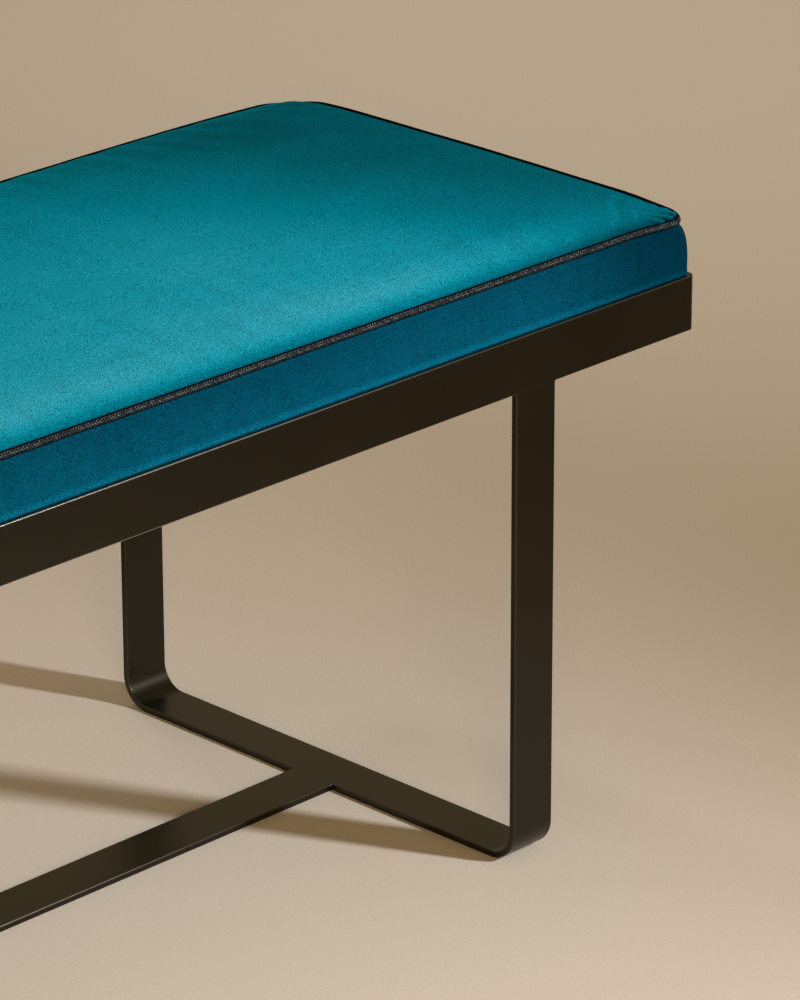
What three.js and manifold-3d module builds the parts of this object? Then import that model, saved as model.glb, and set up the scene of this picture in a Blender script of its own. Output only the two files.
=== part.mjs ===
// Upholstered bench: a piped velvet seat pad that drops into a flat-bar steel tray, on two legs
// bent from flat bar and joined by a stretcher along the floor.
// Millimetres, +Z up, the length along X, the front at -Y.
// The origin is on the floor, under the middle of the bench.

import * as THREE from "three";
import { mergeVertices } from "three/addons/utils/BufferGeometryUtils.js";
import Module from "manifold-3d";

// Driving sizes of the steel frame
const BENCH_LENGTH = 1200;
const BENCH_DEPTH = 420;
const RAIL_TOP = 412; // floor to the tray's top edge
const RAIL_HEIGHT = 42;
const BAR_THICKNESS = 5; // every flat bar
const RAIL_CORNER_INSIDE = 1; // plan radius inside the tray's corners
const LEG_WIDTH = 40;
const LEG_INSET = 150; // end of the tray to the outer edge of a leg
const LEG_BEND_INSIDE = 20; // inside radius of the bend at the floor
const STRETCHER_WIDTH = 42;
const CROSS_BAR_WIDTH = 40;

// Driving sizes of the seat pad
const SEAM_RISE = 46; // tray's top edge to the middle of the piping
const PIPING_DIAMETER = 6.5;
const PIPING_INSET = 4; // outer face of the tray to the middle of the piping
const SEAM_CORNER = 25; // plan radius of the piping's corners
const CROWN_RISE = 13; // how far the top stands above its own edge
const CORNER_DROP = 3; // how far the seam dips at each corner
const CORNER_DROP_REACH = 80;
const SIDE_DRAW = 1.2; // how far each side pulls in between its corners
const VELVET_THICKNESS = 1.4;
const WADDING_THICKNESS = 6;
const BOARD_THICKNESS = 15;
const BOARD_CORNER = 6;
const UNDER_CLOTH_THICKNESS = 0.6;
const UNDER_CLOTH_INSET = 12; // edge of the pad to the edge of the cloth below it
const TURN_UNDER = 25; // width of cover that is turned under the board
const BASE_CORNER = 2; // plan radius of the pad's corners inside the tray
const PAD_CLEARANCE = 0.4; // pad to the inside of the tray
const SOFT_GAP = 0.3; // between two layers of the pad
const LIP_OVERHANG = 1.2; // how far the cover bulges out over the tray's edge
const SIDE_BULGE = 0.5; // how far the side stands out beyond the middle of the piping

// Driving sizes of the fixings that hold the pad down
const SCREW_DIAMETER = 6;
const SCREW_TIP_DEPTH = 4.35; // top of the nut to the tip of the screw
const SCREW_HEAD_DIAMETER = 10.5;
const SCREW_HEAD_HEIGHT = 3.3;
const SCREW_HEAD_RIM = 0.8; // straight edge below the dome of the head
const SOCKET_ACROSS = 4; // across the flats of the hexagon socket
const SOCKET_DEPTH = 2;
const WASHER_DIAMETER = 14;
const WASHER_THICKNESS = 1.6;
const NUT_FLANGE_DIAMETER = 19;
const NUT_FLANGE_THICKNESS = 1.6;
const NUT_BARREL_DIAMETER = 8.6;
const NUT_LENGTH = 9; // flange and barrel together
const SCREW_CLEARANCE = 0.3; // all round the screw in what it passes through
const BAR_HOLE_CLEARANCE = 0.5; // all round the screw in a cross bar
const NUT_CLEARANCE = 0.3; // all round the nut in the board
const SCREW_SETBACK = 85; // inside of the tray to the nearest screws
const CUT_OVERRUN = 2; // how far a cutting shape runs past what it cuts

// Numbers of steps along round stretches, and of cells across the pad
const BEND_STEPS = 8;
const HOLE_STEPS = 8;
const LATHE_STEPS = 16;
const DOME_STEPS = 3;
const PIPING_SIDES = 8;
const CORNER_CELLS = 4;
const EDGE_CELLS = 3;
const MIDDLE_CELLS_ALONG = 4;
const MIDDLE_CELLS_ACROSS = 1;
const HEXAGON_SIDES = 6;
const EIGHTH_TURN = Math.PI / 4;
const QUARTER_TURN = Math.PI / 2;
const MERGE_DISTANCE = 1e-4;

// Worked out from the driving sizes
const RAIL_BOTTOM = RAIL_TOP - RAIL_HEIGHT;
const RAIL_CORNER_OUTSIDE = RAIL_CORNER_INSIDE + BAR_THICKNESS;
const LEG_BEND_OUTSIDE = LEG_BEND_INSIDE + BAR_THICKNESS;
const LEG_MIDDLE = BENCH_LENGTH / 2 - LEG_INSET - LEG_WIDTH / 2;
const INSIDE_DEPTH = BENCH_DEPTH - 2 * BAR_THICKNESS;
const CROSS_BAR_TOP = RAIL_BOTTOM + BAR_THICKNESS;
const PIPING_RADIUS = PIPING_DIAMETER / 2;
const SEAM_HEIGHT = RAIL_TOP + SEAM_RISE;
const BASE_INSET = BAR_THICKNESS + PAD_CLEARANCE;
const UNDER_CLOTH_BOTTOM = CROSS_BAR_TOP + SOFT_GAP;
const PAD_BOTTOM = UNDER_CLOTH_BOTTOM + UNDER_CLOTH_THICKNESS + SOFT_GAP;
const BOARD_BOTTOM = PAD_BOTTOM + VELVET_THICKNESS + SOFT_GAP;
const BOARD_TOP = BOARD_BOTTOM + BOARD_THICKNESS;
const FOAM_BOTTOM = BOARD_TOP + SOFT_GAP;
const LINING_INSET = VELVET_THICKNESS + SOFT_GAP; // outside of the cover to what it covers
const PANEL_INSET = PIPING_INSET + PIPING_RADIUS + SOFT_GAP;
const PANEL_CORNER = SEAM_CORNER - PIPING_RADIUS - SOFT_GAP;
const PANEL_EDGE_BOTTOM = SEAM_HEIGHT - VELVET_THICKNESS / 2;
const WADDING_EDGE_BOTTOM = PANEL_EDGE_BOTTOM - SOFT_GAP - WADDING_THICKNESS;
const FOAM_EDGE_TOP = WADDING_EDGE_BOTTOM - SOFT_GAP;
const BORDER_TOP = SEAM_HEIGHT - PIPING_RADIUS - SOFT_GAP;
const BAR_HOLE_RADIUS = SCREW_DIAMETER / 2 + BAR_HOLE_CLEARANCE;
const NUT_HOLE_RADIUS = NUT_BARREL_DIAMETER / 2 + NUT_CLEARANCE;
const SCREW_ROW = INSIDE_DEPTH / 2 - SCREW_SETBACK;
const SCREW_ROWS = [-SCREW_ROW, SCREW_ROW];
const SCREW_SEAT = RAIL_BOTTOM - WASHER_THICKNESS; // where the heads bear on their washers
const NUT_FLANGE_BOTTOM = BOARD_TOP - NUT_FLANGE_THICKNESS - NUT_CLEARANCE / 2;
const SCREW_TIP = NUT_FLANGE_BOTTOM + NUT_FLANGE_THICKNESS - SCREW_TIP_DEPTH;
const SCREW_LENGTH = SCREW_TIP - SCREW_SEAT;
const CROSS_BARS = { left: -LEG_MIDDLE, middle: 0, right: LEG_MIDDLE };

// How the crown rises with the distance in from the edge, and how the cells widen inwards
const CROWN_POWER_SHARE = 2.5;
const CROWN_ROOT_SHARE = 0.5;
const EDGE_SPREAD_SHARE = 1.5;

// The side of the cover above the tray, from the bottom up: how high, how far its outside has come
// from the lip to the line of the piping, and how much of the piping's corner radius it has
const SIDE_SHARES = [
  { heightShare: 0.05, insetShare: 1, cornerShare: 0.08 },
  { heightShare: 0.5, insetShare: 0, cornerShare: 0.16 },
  { heightShare: 0.76, insetShare: 0.05, cornerShare: 0.34 },
  { heightShare: 0.92, insetShare: 0.3, cornerShare: 0.64 },
];

const wasm = await Module();
wasm.setup();

// Colours and finishes

const blackSteel = new THREE.MeshStandardMaterial({ color: 0x2b241c, roughness: 0.5, metalness: 0.6 });
const velvet = new THREE.MeshStandardMaterial({ color: 0x0a7384, roughness: 0.9, metalness: 0 });
const braid = new THREE.MeshStandardMaterial({ color: 0x23252a, roughness: 0.8, metalness: 0 });
const foam = new THREE.MeshStandardMaterial({ color: 0xe8dfc4, roughness: 0.95, metalness: 0 });
const fibre = new THREE.MeshStandardMaterial({ color: 0xf2f1ec, roughness: 1, metalness: 0 });
const plywood = new THREE.MeshStandardMaterial({ color: 0xb98f5e, roughness: 0.7, metalness: 0 });
const blackCloth = new THREE.MeshStandardMaterial({ color: 0x17181a, roughness: 1, metalness: 0 });
const zinc = new THREE.MeshStandardMaterial({ color: 0xa9adb0, roughness: 0.35, metalness: 1 });

// A named mesh with its own material, at a place in its group
function piece(name, geometry, material, x = 0, y = 0, z = 0) {
  const mesh = new THREE.Mesh(geometry, material.clone());
  mesh.name = name;
  mesh.position.set(x, y, z);
  return mesh;
}

// A closed geometry as a solid that can be cut
function solidOf(geometry) {
  const bare = geometry.clone();
  bare.deleteAttribute("normal");
  bare.deleteAttribute("uv");
  const merged = mergeVertices(bare, MERGE_DISTANCE);
  const mesh = new wasm.Mesh({
    numProp: 3,
    vertProperties: merged.attributes.position.array,
    triVerts: new Uint32Array(merged.index.array),
  });
  return new wasm.Manifold(mesh);
}

// The first geometry with all the others taken out of it
function cut(whole, cutters) {
  let solid = solidOf(whole);
  for (const cutter of cutters) solid = solid.subtract(solidOf(cutter));
  const { vertProperties, triVerts } = solid.getMesh();
  const geometry = new THREE.BufferGeometry();
  geometry.setAttribute("position", new THREE.BufferAttribute(vertProperties, 3));
  geometry.setIndex(new THREE.BufferAttribute(triVerts, 1));
  geometry.computeVertexNormals();
  return geometry;
}

// A profile of [radius, height] pairs turned round the Z axis, listed from the bottom up
function turned(profile) {
  const points = profile.map(([radius, height]) => new THREE.Vector2(radius, height));
  return new THREE.LatheGeometry(points, LATHE_STEPS).rotateX(QUARTER_TURN);
}

// A flat plate in plan, centred, with round holes at the given places, standing on z = 0.
// Its corners are square, or rounded where a corner radius is given.
function plate(lengthX, depthY, thickness, holes = [], holeRadius = 0, corner = 0) {
  const [x, y] = [lengthX / 2 - corner, depthY / 2 - corner];
  const centres = [new THREE.Vector2(x, -y), new THREE.Vector2(x, y)];
  centres.push(new THREE.Vector2(-x, y), new THREE.Vector2(-x, -y));
  const outline = corner > 0 ? new THREE.Shape() : new THREE.Shape(centres);
  for (let i = 0; corner > 0 && i < centres.length; i++) {
    const start = (i - 1) * QUARTER_TURN;
    outline.absarc(centres[i].x, centres[i].y, corner, start, start + QUARTER_TURN, false);
  }
  for (const [x, y] of holes) {
    const hole = new THREE.Path();
    hole.absarc(x, y, holeRadius, 0, 2 * Math.PI, true);
    outline.holes.push(hole);
  }
  return new THREE.ExtrudeGeometry(outline, {
    depth: thickness,
    bevelEnabled: false,
    curveSegments: HOLE_STEPS,
  });
}

// Steel frame

// One side of the tray in plan, from mitre to mitre, with its outer face towards +X.
// Outer and inner corner arcs share a centre, so the mitre runs straight through both.
function railGeometry(reach, halfSpan) {
  const centreX = reach - RAIL_CORNER_OUTSIDE;
  const centreY = halfSpan - RAIL_CORNER_OUTSIDE;
  const outline = new THREE.Shape();
  outline.absarc(centreX, -centreY, RAIL_CORNER_OUTSIDE, -EIGHTH_TURN, 0, false);
  outline.absarc(centreX, centreY, RAIL_CORNER_OUTSIDE, 0, EIGHTH_TURN, false);
  outline.absarc(centreX, centreY, RAIL_CORNER_INSIDE, EIGHTH_TURN, 0, true);
  outline.absarc(centreX, -centreY, RAIL_CORNER_INSIDE, 0, -EIGHTH_TURN, true);
  return new THREE.ExtrudeGeometry(outline, {
    depth: RAIL_HEIGHT,
    bevelEnabled: false,
    curveSegments: BEND_STEPS / 2,
  });
}

function makeTray() {
  const tray = new THREE.Group();
  tray.position.z = RAIL_BOTTOM;
  const sides = [
    ["right_end_rail", BENCH_LENGTH / 2, BENCH_DEPTH / 2, 0],
    ["back_rail", BENCH_DEPTH / 2, BENCH_LENGTH / 2, QUARTER_TURN],
    ["left_end_rail", BENCH_LENGTH / 2, BENCH_DEPTH / 2, 2 * QUARTER_TURN],
    ["front_rail", BENCH_DEPTH / 2, BENCH_LENGTH / 2, -QUARTER_TURN],
  ];
  for (const [name, reach, halfSpan, turn] of sides) {
    const rail = piece(name, railGeometry(reach, halfSpan), blackSteel);
    rail.rotation.z = turn;
    tray.add(rail);
  }
  return tray;
}

// One bar bent into a U: down the front, along the floor and up the back.
// Its ends are butted to the underside of the rails, flush with their outer faces.
function legGeometry() {
  const face = BENCH_DEPTH / 2;
  const bendY = face - LEG_BEND_OUTSIDE;
  const outline = new THREE.Shape();
  outline.moveTo(-face, RAIL_BOTTOM);
  outline.absarc(-bendY, LEG_BEND_OUTSIDE, LEG_BEND_OUTSIDE, 2 * QUARTER_TURN, 3 * QUARTER_TURN, false);
  outline.absarc(bendY, LEG_BEND_OUTSIDE, LEG_BEND_OUTSIDE, 3 * QUARTER_TURN, 4 * QUARTER_TURN, false);
  outline.lineTo(face, RAIL_BOTTOM);
  outline.lineTo(face - BAR_THICKNESS, RAIL_BOTTOM);
  outline.absarc(bendY, LEG_BEND_OUTSIDE, LEG_BEND_INSIDE, 4 * QUARTER_TURN, 3 * QUARTER_TURN, true);
  outline.absarc(-bendY, LEG_BEND_OUTSIDE, LEG_BEND_INSIDE, 3 * QUARTER_TURN, 2 * QUARTER_TURN, true);
  outline.lineTo(BAR_THICKNESS - face, RAIL_BOTTOM);
  const bar = new THREE.ExtrudeGeometry(outline, {
    depth: LEG_WIDTH,
    bevelEnabled: false,
    curveSegments: BEND_STEPS,
  });
  bar.translate(0, 0, -LEG_WIDTH / 2);
  const [x, y, z] = [new THREE.Vector3(1, 0, 0), new THREE.Vector3(0, 1, 0), new THREE.Vector3(0, 0, 1)];
  return bar.applyMatrix4(new THREE.Matrix4().makeBasis(y, z, x));
}

function makeLegs() {
  const legs = new THREE.Group();
  legs.add(piece("left_leg_frame", legGeometry(), blackSteel, -LEG_MIDDLE));
  legs.add(piece("right_leg_frame", legGeometry(), blackSteel, LEG_MIDDLE));
  const span = 2 * LEG_MIDDLE - LEG_WIDTH;
  const stretcher = plate(span, STRETCHER_WIDTH, BAR_THICKNESS);
  legs.add(piece("floor_stretcher", stretcher, blackSteel));
  return legs;
}

// Flat bars across the bottom of the tray, which close the legs and carry the pad
function makeCrossBars() {
  const bars = new THREE.Group();
  bars.position.z = RAIL_BOTTOM;
  const holes = SCREW_ROWS.map((y) => [0, y]);
  for (const [side, x] of Object.entries(CROSS_BARS)) {
    const bar = plate(CROSS_BAR_WIDTH, INSIDE_DEPTH, BAR_THICKNESS, holes, BAR_HOLE_RADIUS);
    bars.add(piece(side + "_cross_bar", bar, blackSteel, x));
  }
  return bars;
}

// Seat pad

const REFERENCE_X = BENCH_LENGTH / 2 - PIPING_INSET;
const REFERENCE_Y = BENCH_DEPTH / 2 - PIPING_INSET;

// Rows of points from -half to half: close together at the corners, wider in the middle.
// The crown's steep edge lies between the corner cells and the middle ones.
function rows(half, middleCells) {
  const edge = REFERENCE_Y / 2;
  const fromEnd = [];
  for (let i = 0; i < CORNER_CELLS; i++) fromEnd.push((SEAM_CORNER * i) / CORNER_CELLS);
  for (let i = 0; i < EDGE_CELLS; i++) {
    fromEnd.push(SEAM_CORNER + (edge - SEAM_CORNER) * (i / EDGE_CELLS) ** EDGE_SPREAD_SHARE);
  }
  for (let i = 0; i < middleCells; i++) fromEnd.push(edge + ((half - edge) * i) / middleCells);
  return [...fromEnd.map((d) => d - half), 0, ...fromEnd.reverse().map((d) => half - d)];
}

const ALONG = rows(REFERENCE_X, MIDDLE_CELLS_ALONG);
const ACROSS = rows(REFERENCE_Y, MIDDLE_CELLS_ACROSS);

// The outermost points of the rows, anticlockwise as seen from above, as [column, row]
function perimeter() {
  const lastX = ALONG.length - 1;
  const lastY = ACROSS.length - 1;
  const ring = [];
  for (let i = 0; i < lastX; i++) ring.push([i, 0]);
  for (let j = 0; j < lastY; j++) ring.push([lastX, j]);
  for (let i = lastX; i > 0; i--) ring.push([i, lastY]);
  for (let j = lastY; j > 0; j--) ring.push([0, j]);
  return ring;
}

const PERIMETER = perimeter();

// How far the seam dips at a point of the rows: fully at a corner, fading to nothing
function cornerDip(x, y) {
  const away = Math.hypot(REFERENCE_X - Math.abs(x), REFERENCE_Y - Math.abs(y));
  const share = Math.max(0, 1 - away / CORNER_DROP_REACH);
  return CORNER_DROP * share * share;
}

// How far the top stands above its edge at a point of the rows
function crown(x, y) {
  const inX = REFERENCE_X - Math.abs(x);
  const inY = REFERENCE_Y - Math.abs(y);
  const inward = inX > 0 && inY > 0 ? (inX * inY) / Math.hypot(inX, inY) : 0;
  const share = Math.min(1, inward / REFERENCE_Y);
  return CROWN_RISE * (1 - (1 - share) ** CROWN_POWER_SHARE) ** CROWN_ROOT_SHARE;
}

// Where a point of the rows lies on one level of the pad: a rectangle that is inset from the tray's
// outer faces, its corners rounded by squeezing each corner square into a quarter disc, and its
// sides drawn in between the corners. formShare is how much of the seam's dip and draw it takes.
function levelPoint(x, y, { inset, corner, height, formShare }) {
  const halfX = BENCH_LENGTH / 2 - inset;
  const halfY = BENCH_DEPTH / 2 - inset;
  const wideX = (Math.abs(x) * halfX) / REFERENCE_X;
  const wideY = (Math.abs(y) * halfY) / REFERENCE_Y;
  const overX = Math.max(0, wideX - halfX + corner) / corner;
  const overY = Math.max(0, wideY - halfY + corner) / corner;
  const roundX = Math.min(wideX, halfX - corner) + corner * overX * Math.sqrt(1 - (overY * overY) / 2);
  const roundY = Math.min(wideY, halfY - corner) + corner * overY * Math.sqrt(1 - (overX * overX) / 2);
  const drawX = (SIDE_DRAW * formShare * (1 - (y / REFERENCE_Y) ** 2)) / halfX;
  const drawY = (SIDE_DRAW * formShare * (1 - (x / REFERENCE_X) ** 2)) / halfY;
  return [
    Math.sign(x) * roundX * (1 - drawX),
    Math.sign(y) * roundY * (1 - drawY),
    height - cornerDip(x, y) * formShare,
  ];
}

// Gathers points and triangles into one closed skin
class Skin {
  points = [];
  faces = [];

  ring(level) {
    return PERIMETER.map(([i, j]) => this.points.push(levelPoint(ALONG[i], ACROSS[j], level)) - 1);
  }

  // A full sheet of rows that stands on the crown
  sheet(level) {
    return ACROSS.map((y) =>
      ALONG.map((x) => {
        const [px, py, pz] = levelPoint(x, y, level);
        return this.points.push([px, py, pz + crown(x, y)]) - 1;
      }),
    );
  }

  edgeOf(sheet) {
    return PERIMETER.map(([i, j]) => sheet[j][i]);
  }

  // Faces between two rings, outwards when the second is above the first.
  // Each cell is split from its lower left to its upper right, whichever ring comes first.
  band(first, second) {
    const rising = this.points[second[0]][2] >= this.points[first[0]][2];
    first.forEach((a, i) => {
      const next = (i + 1) % first.length;
      const [b, c, d] = [first[next], second[next], second[i]];
      this.faces.push(...(rising ? [[a, b, c], [a, c, d]] : [[a, b, d], [b, c, d]]));
    });
  }

  // Two triangles for each cell of a sheet, split towards the nearest corner of the pad.
  // Sheets that lie over each other are split alike, so they keep their distance.
  sheetFaces(sheet, upwards) {
    for (let j = 0; j + 1 < sheet.length; j++) {
      for (let i = 0; i + 1 < sheet[j].length; i++) {
        const quad = [sheet[j][i], sheet[j][i + 1], sheet[j + 1][i + 1], sheet[j + 1][i]];
        if (ALONG[i] + ALONG[i + 1] < 0 !== ACROSS[j] + ACROSS[j + 1] < 0) quad.push(quad.shift());
        const faces = [[quad[0], quad[1], quad[2]], [quad[0], quad[2], quad[3]]];
        this.faces.push(...(upwards ? faces : faces.map((face) => face.reverse())));
      }
    }
  }

  // A flat floor that closes a ring from below
  floor(ring) {
    const outline = ring.map((index) => new THREE.Vector2(...this.points[index]));
    for (const face of THREE.ShapeUtils.triangulateShape(outline, [])) {
      this.faces.push(face.map((corner) => ring[corner]).reverse());
    }
  }

  geometry() {
    const geometry = new THREE.BufferGeometry();
    geometry.setAttribute("position", new THREE.Float32BufferAttribute(this.points.flat(), 3));
    geometry.setIndex(this.faces.flat());
    geometry.computeVertexNormals();
    return geometry;
  }
}

// The levels of the cover's outside from its base to the piping.
// The first two lie inside the tray, and the rest bulge out over its edge.
function coverLevels() {
  const wallHeight = BORDER_TOP - RAIL_TOP;
  const lipInset = BASE_INSET - LIP_OVERHANG;
  const bulgeInset = PIPING_INSET - SIDE_BULGE;
  const levels = [
    { inset: BASE_INSET, corner: BASE_CORNER, height: PAD_BOTTOM, formShare: 0 },
    { inset: BASE_INSET, corner: BASE_CORNER, height: RAIL_TOP, formShare: 0 },
  ];
  for (const { heightShare, insetShare, cornerShare } of SIDE_SHARES) {
    levels.push({
      inset: bulgeInset + (lipInset - bulgeInset) * insetShare,
      corner: SEAM_CORNER * cornerShare,
      height: RAIL_TOP + wallHeight * heightShare,
      formShare: heightShare,
    });
  }
  levels.push({ inset: PIPING_INSET, corner: SEAM_CORNER, height: BORDER_TOP, formShare: 1 });
  return levels;
}

const inward = (level, distance) => ({ ...level, inset: level.inset + distance });
const raised = (level, distance) => ({ ...level, height: level.height + distance });

// The sides of the cover: a strip round the pad, turned under the board at the bottom
function borderGeometry() {
  const skin = new Skin();
  const outside = coverLevels();
  const base = outside[0];
  const inside = outside.map((level) => inward(level, VELVET_THICKNESS));
  inside[0] = raised(inside[0], VELVET_THICKNESS);
  const hem = inward(base, TURN_UNDER);
  const rings = [...outside, ...inside.reverse(), raised(hem, VELVET_THICKNESS), hem];
  const loops = rings.map((level) => skin.ring(level));
  loops.forEach((loop, i) => skin.band(loop, loops[(i + 1) % loops.length]));
  return skin.geometry();
}

// A crowned layer of even thickness that ends at the piping
function crownedLayer(edgeBottom, thickness) {
  const skin = new Skin();
  const under = { inset: PANEL_INSET, corner: PANEL_CORNER, height: edgeBottom, formShare: 1 };
  const underSheet = skin.sheet(under);
  const topSheet = skin.sheet(raised(under, thickness));
  skin.sheetFaces(underSheet, false);
  skin.sheetFaces(topSheet, true);
  skin.band(skin.edgeOf(underSheet), skin.edgeOf(topSheet));
  return skin.geometry();
}

// The foam: it fills the cover from the board to the wadding
function foamGeometry() {
  const skin = new Skin();
  const levels = coverLevels().map((level) => inward(level, LINING_INSET));
  const between = (level) => level.height > FOAM_BOTTOM && level.height < FOAM_EDGE_TOP - CORNER_DROP;
  const walls = [{ ...levels[0], height: FOAM_BOTTOM }, ...levels.filter(between)];
  const loops = walls.map((level) => skin.ring(level));
  const top = { inset: PANEL_INSET, corner: PANEL_CORNER, height: FOAM_EDGE_TOP, formShare: 1 };
  const topSheet = skin.sheet(top);
  loops.push(skin.edgeOf(topSheet));
  skin.floor(loops[0]);
  for (let i = 0; i + 1 < loops.length; i++) skin.band(loops[i], loops[i + 1]);
  skin.sheetFaces(topSheet, true);
  return skin.geometry();
}

// The cord sewn into the seam: a round tube along the seam line
function pipingGeometry() {
  const skin = new Skin();
  const loops = [];
  for (let i = 0; i < PIPING_SIDES; i++) {
    const angle = (2 * Math.PI * i) / PIPING_SIDES;
    const out = PIPING_RADIUS * Math.cos(angle);
    loops.push(
      skin.ring({
        inset: PIPING_INSET - out,
        corner: SEAM_CORNER + out,
        height: SEAM_HEIGHT + PIPING_RADIUS * Math.sin(angle),
        formShare: 1,
      }),
    );
  }
  loops.forEach((loop, i) => skin.band(loop, loops[(i + 1) % loops.length]));
  return skin.geometry();
}

function screwPlaces() {
  return Object.values(CROSS_BARS).flatMap((x) => SCREW_ROWS.map((y) => [x, y]));
}

// The board that carries the foam, bored and sunk for the nuts
function boardGeometry() {
  const inset = BASE_INSET + LINING_INSET;
  const lengthX = BENCH_LENGTH - 2 * inset;
  const depthY = BENCH_DEPTH - 2 * inset;
  const places = screwPlaces();
  const board = plate(lengthX, depthY, BOARD_THICKNESS, places, NUT_HOLE_RADIUS, BOARD_CORNER);
  const radius = NUT_FLANGE_DIAMETER / 2 + NUT_CLEARANCE;
  const depth = NUT_FLANGE_THICKNESS + NUT_CLEARANCE;
  const sinks = places.map(([x, y]) => {
    const sink = new THREE.CylinderGeometry(radius, radius, depth + CUT_OVERRUN, LATHE_STEPS);
    sink.rotateX(QUARTER_TURN);
    return sink.translate(x, y, BOARD_THICKNESS - depth + (depth + CUT_OVERRUN) / 2);
  });
  return cut(board, sinks);
}

function makePad() {
  const pad = new THREE.Group();
  const clothInset = BASE_INSET + UNDER_CLOTH_INSET;
  const underCloth = plate(
    BENCH_LENGTH - 2 * clothInset,
    BENCH_DEPTH - 2 * clothInset,
    UNDER_CLOTH_THICKNESS,
    screwPlaces(),
    BAR_HOLE_RADIUS,
  );
  pad.add(piece("under_cloth", underCloth, blackCloth, 0, 0, UNDER_CLOTH_BOTTOM));
  pad.add(piece("seat_board", boardGeometry(), plywood, 0, 0, BOARD_BOTTOM));
  pad.add(piece("foam_core", foamGeometry(), foam));
  const wadding = crownedLayer(WADDING_EDGE_BOTTOM, WADDING_THICKNESS);
  pad.add(piece("wadding", wadding, fibre));
  pad.add(piece("top_panel", crownedLayer(PANEL_EDGE_BOTTOM, VELVET_THICKNESS), velvet));
  pad.add(piece("border_band", borderGeometry(), velvet));
  pad.add(piece("piping_cord", pipingGeometry(), braid));
  return pad;
}

// Fixings

// A button-head screw that points up, its head's bearing face at z = 0
function screwGeometry() {
  const radius = SCREW_HEAD_DIAMETER / 2;
  const dome = [];
  for (let i = 0; i <= DOME_STEPS; i++) {
    const angle = (QUARTER_TURN * i) / DOME_STEPS;
    const drop = (SCREW_HEAD_HEIGHT - SCREW_HEAD_RIM) * Math.cos(angle);
    dome.push([radius * Math.sin(angle), -SCREW_HEAD_RIM - drop]);
  }
  const blank = turned([
    ...dome,
    [radius, 0],
    [SCREW_DIAMETER / 2, 0],
    [SCREW_DIAMETER / 2, SCREW_LENGTH],
    [0, SCREW_LENGTH],
  ]);
  const corner = SOCKET_ACROSS / Math.sqrt(3);
  const depth = SOCKET_DEPTH + CUT_OVERRUN;
  const socket = new THREE.CylinderGeometry(corner, corner, depth, HEXAGON_SIDES);
  socket.rotateX(QUARTER_TURN).translate(0, 0, SOCKET_DEPTH - SCREW_HEAD_HEIGHT - depth / 2);
  return cut(blank, [socket]);
}

// A flat ring that stands on z = 0
function washerGeometry() {
  const hole = SCREW_DIAMETER / 2 + SCREW_CLEARANCE;
  return turned([
    [hole, 0],
    [WASHER_DIAMETER / 2, 0],
    [WASHER_DIAMETER / 2, WASHER_THICKNESS],
    [hole, WASHER_THICKNESS],
    [hole, 0],
  ]);
}

// A nut with a wide flange on top, which lies sunk in the board; z = 0 is under the flange
function teeNutGeometry() {
  const hole = SCREW_DIAMETER / 2 + SCREW_CLEARANCE;
  const barrelBottom = NUT_FLANGE_THICKNESS - NUT_LENGTH;
  return turned([
    [hole, barrelBottom],
    [NUT_BARREL_DIAMETER / 2, barrelBottom],
    [NUT_BARREL_DIAMETER / 2, 0],
    [NUT_FLANGE_DIAMETER / 2, 0],
    [NUT_FLANGE_DIAMETER / 2, NUT_FLANGE_THICKNESS],
    [hole, NUT_FLANGE_THICKNESS],
    [hole, barrelBottom],
  ]);
}

function makeFixings() {
  const fixings = new THREE.Group();
  screwPlaces().forEach(([x, y], i) => {
    const number = i + 1;
    fixings.add(piece("seat_screw_" + number, screwGeometry(), zinc, x, y, SCREW_SEAT));
    fixings.add(piece("washer_" + number, washerGeometry(), zinc, x, y, SCREW_SEAT));
    fixings.add(piece("tee_nut_" + number, teeNutGeometry(), zinc, x, y, NUT_FLANGE_BOTTOM));
  });
  return fixings;
}

const bench = new THREE.Group();
bench.add(makeTray(), makeLegs(), makeCrossBars(), makePad(), makeFixings());

export default bench;
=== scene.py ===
# %% [markdown]
# # Upholstered bench
# A long seat pad of teal velvet lies in a tray of flat steel bar. The tray stands on two legs, each
# bent from one bar into a U, and a stretcher joins the legs along the floor.
# The construction, with its real sizes, comes in as a fixed frame. This file gives it its looks.
# Almost every shape here is worked out with numpy as rows of points, because a formula can be
# read, changed and repeated exactly, which a hand-pushed mesh can't.

import math

import bmesh
import bpy
import numpy as np
from mathutils import Matrix, Vector


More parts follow.
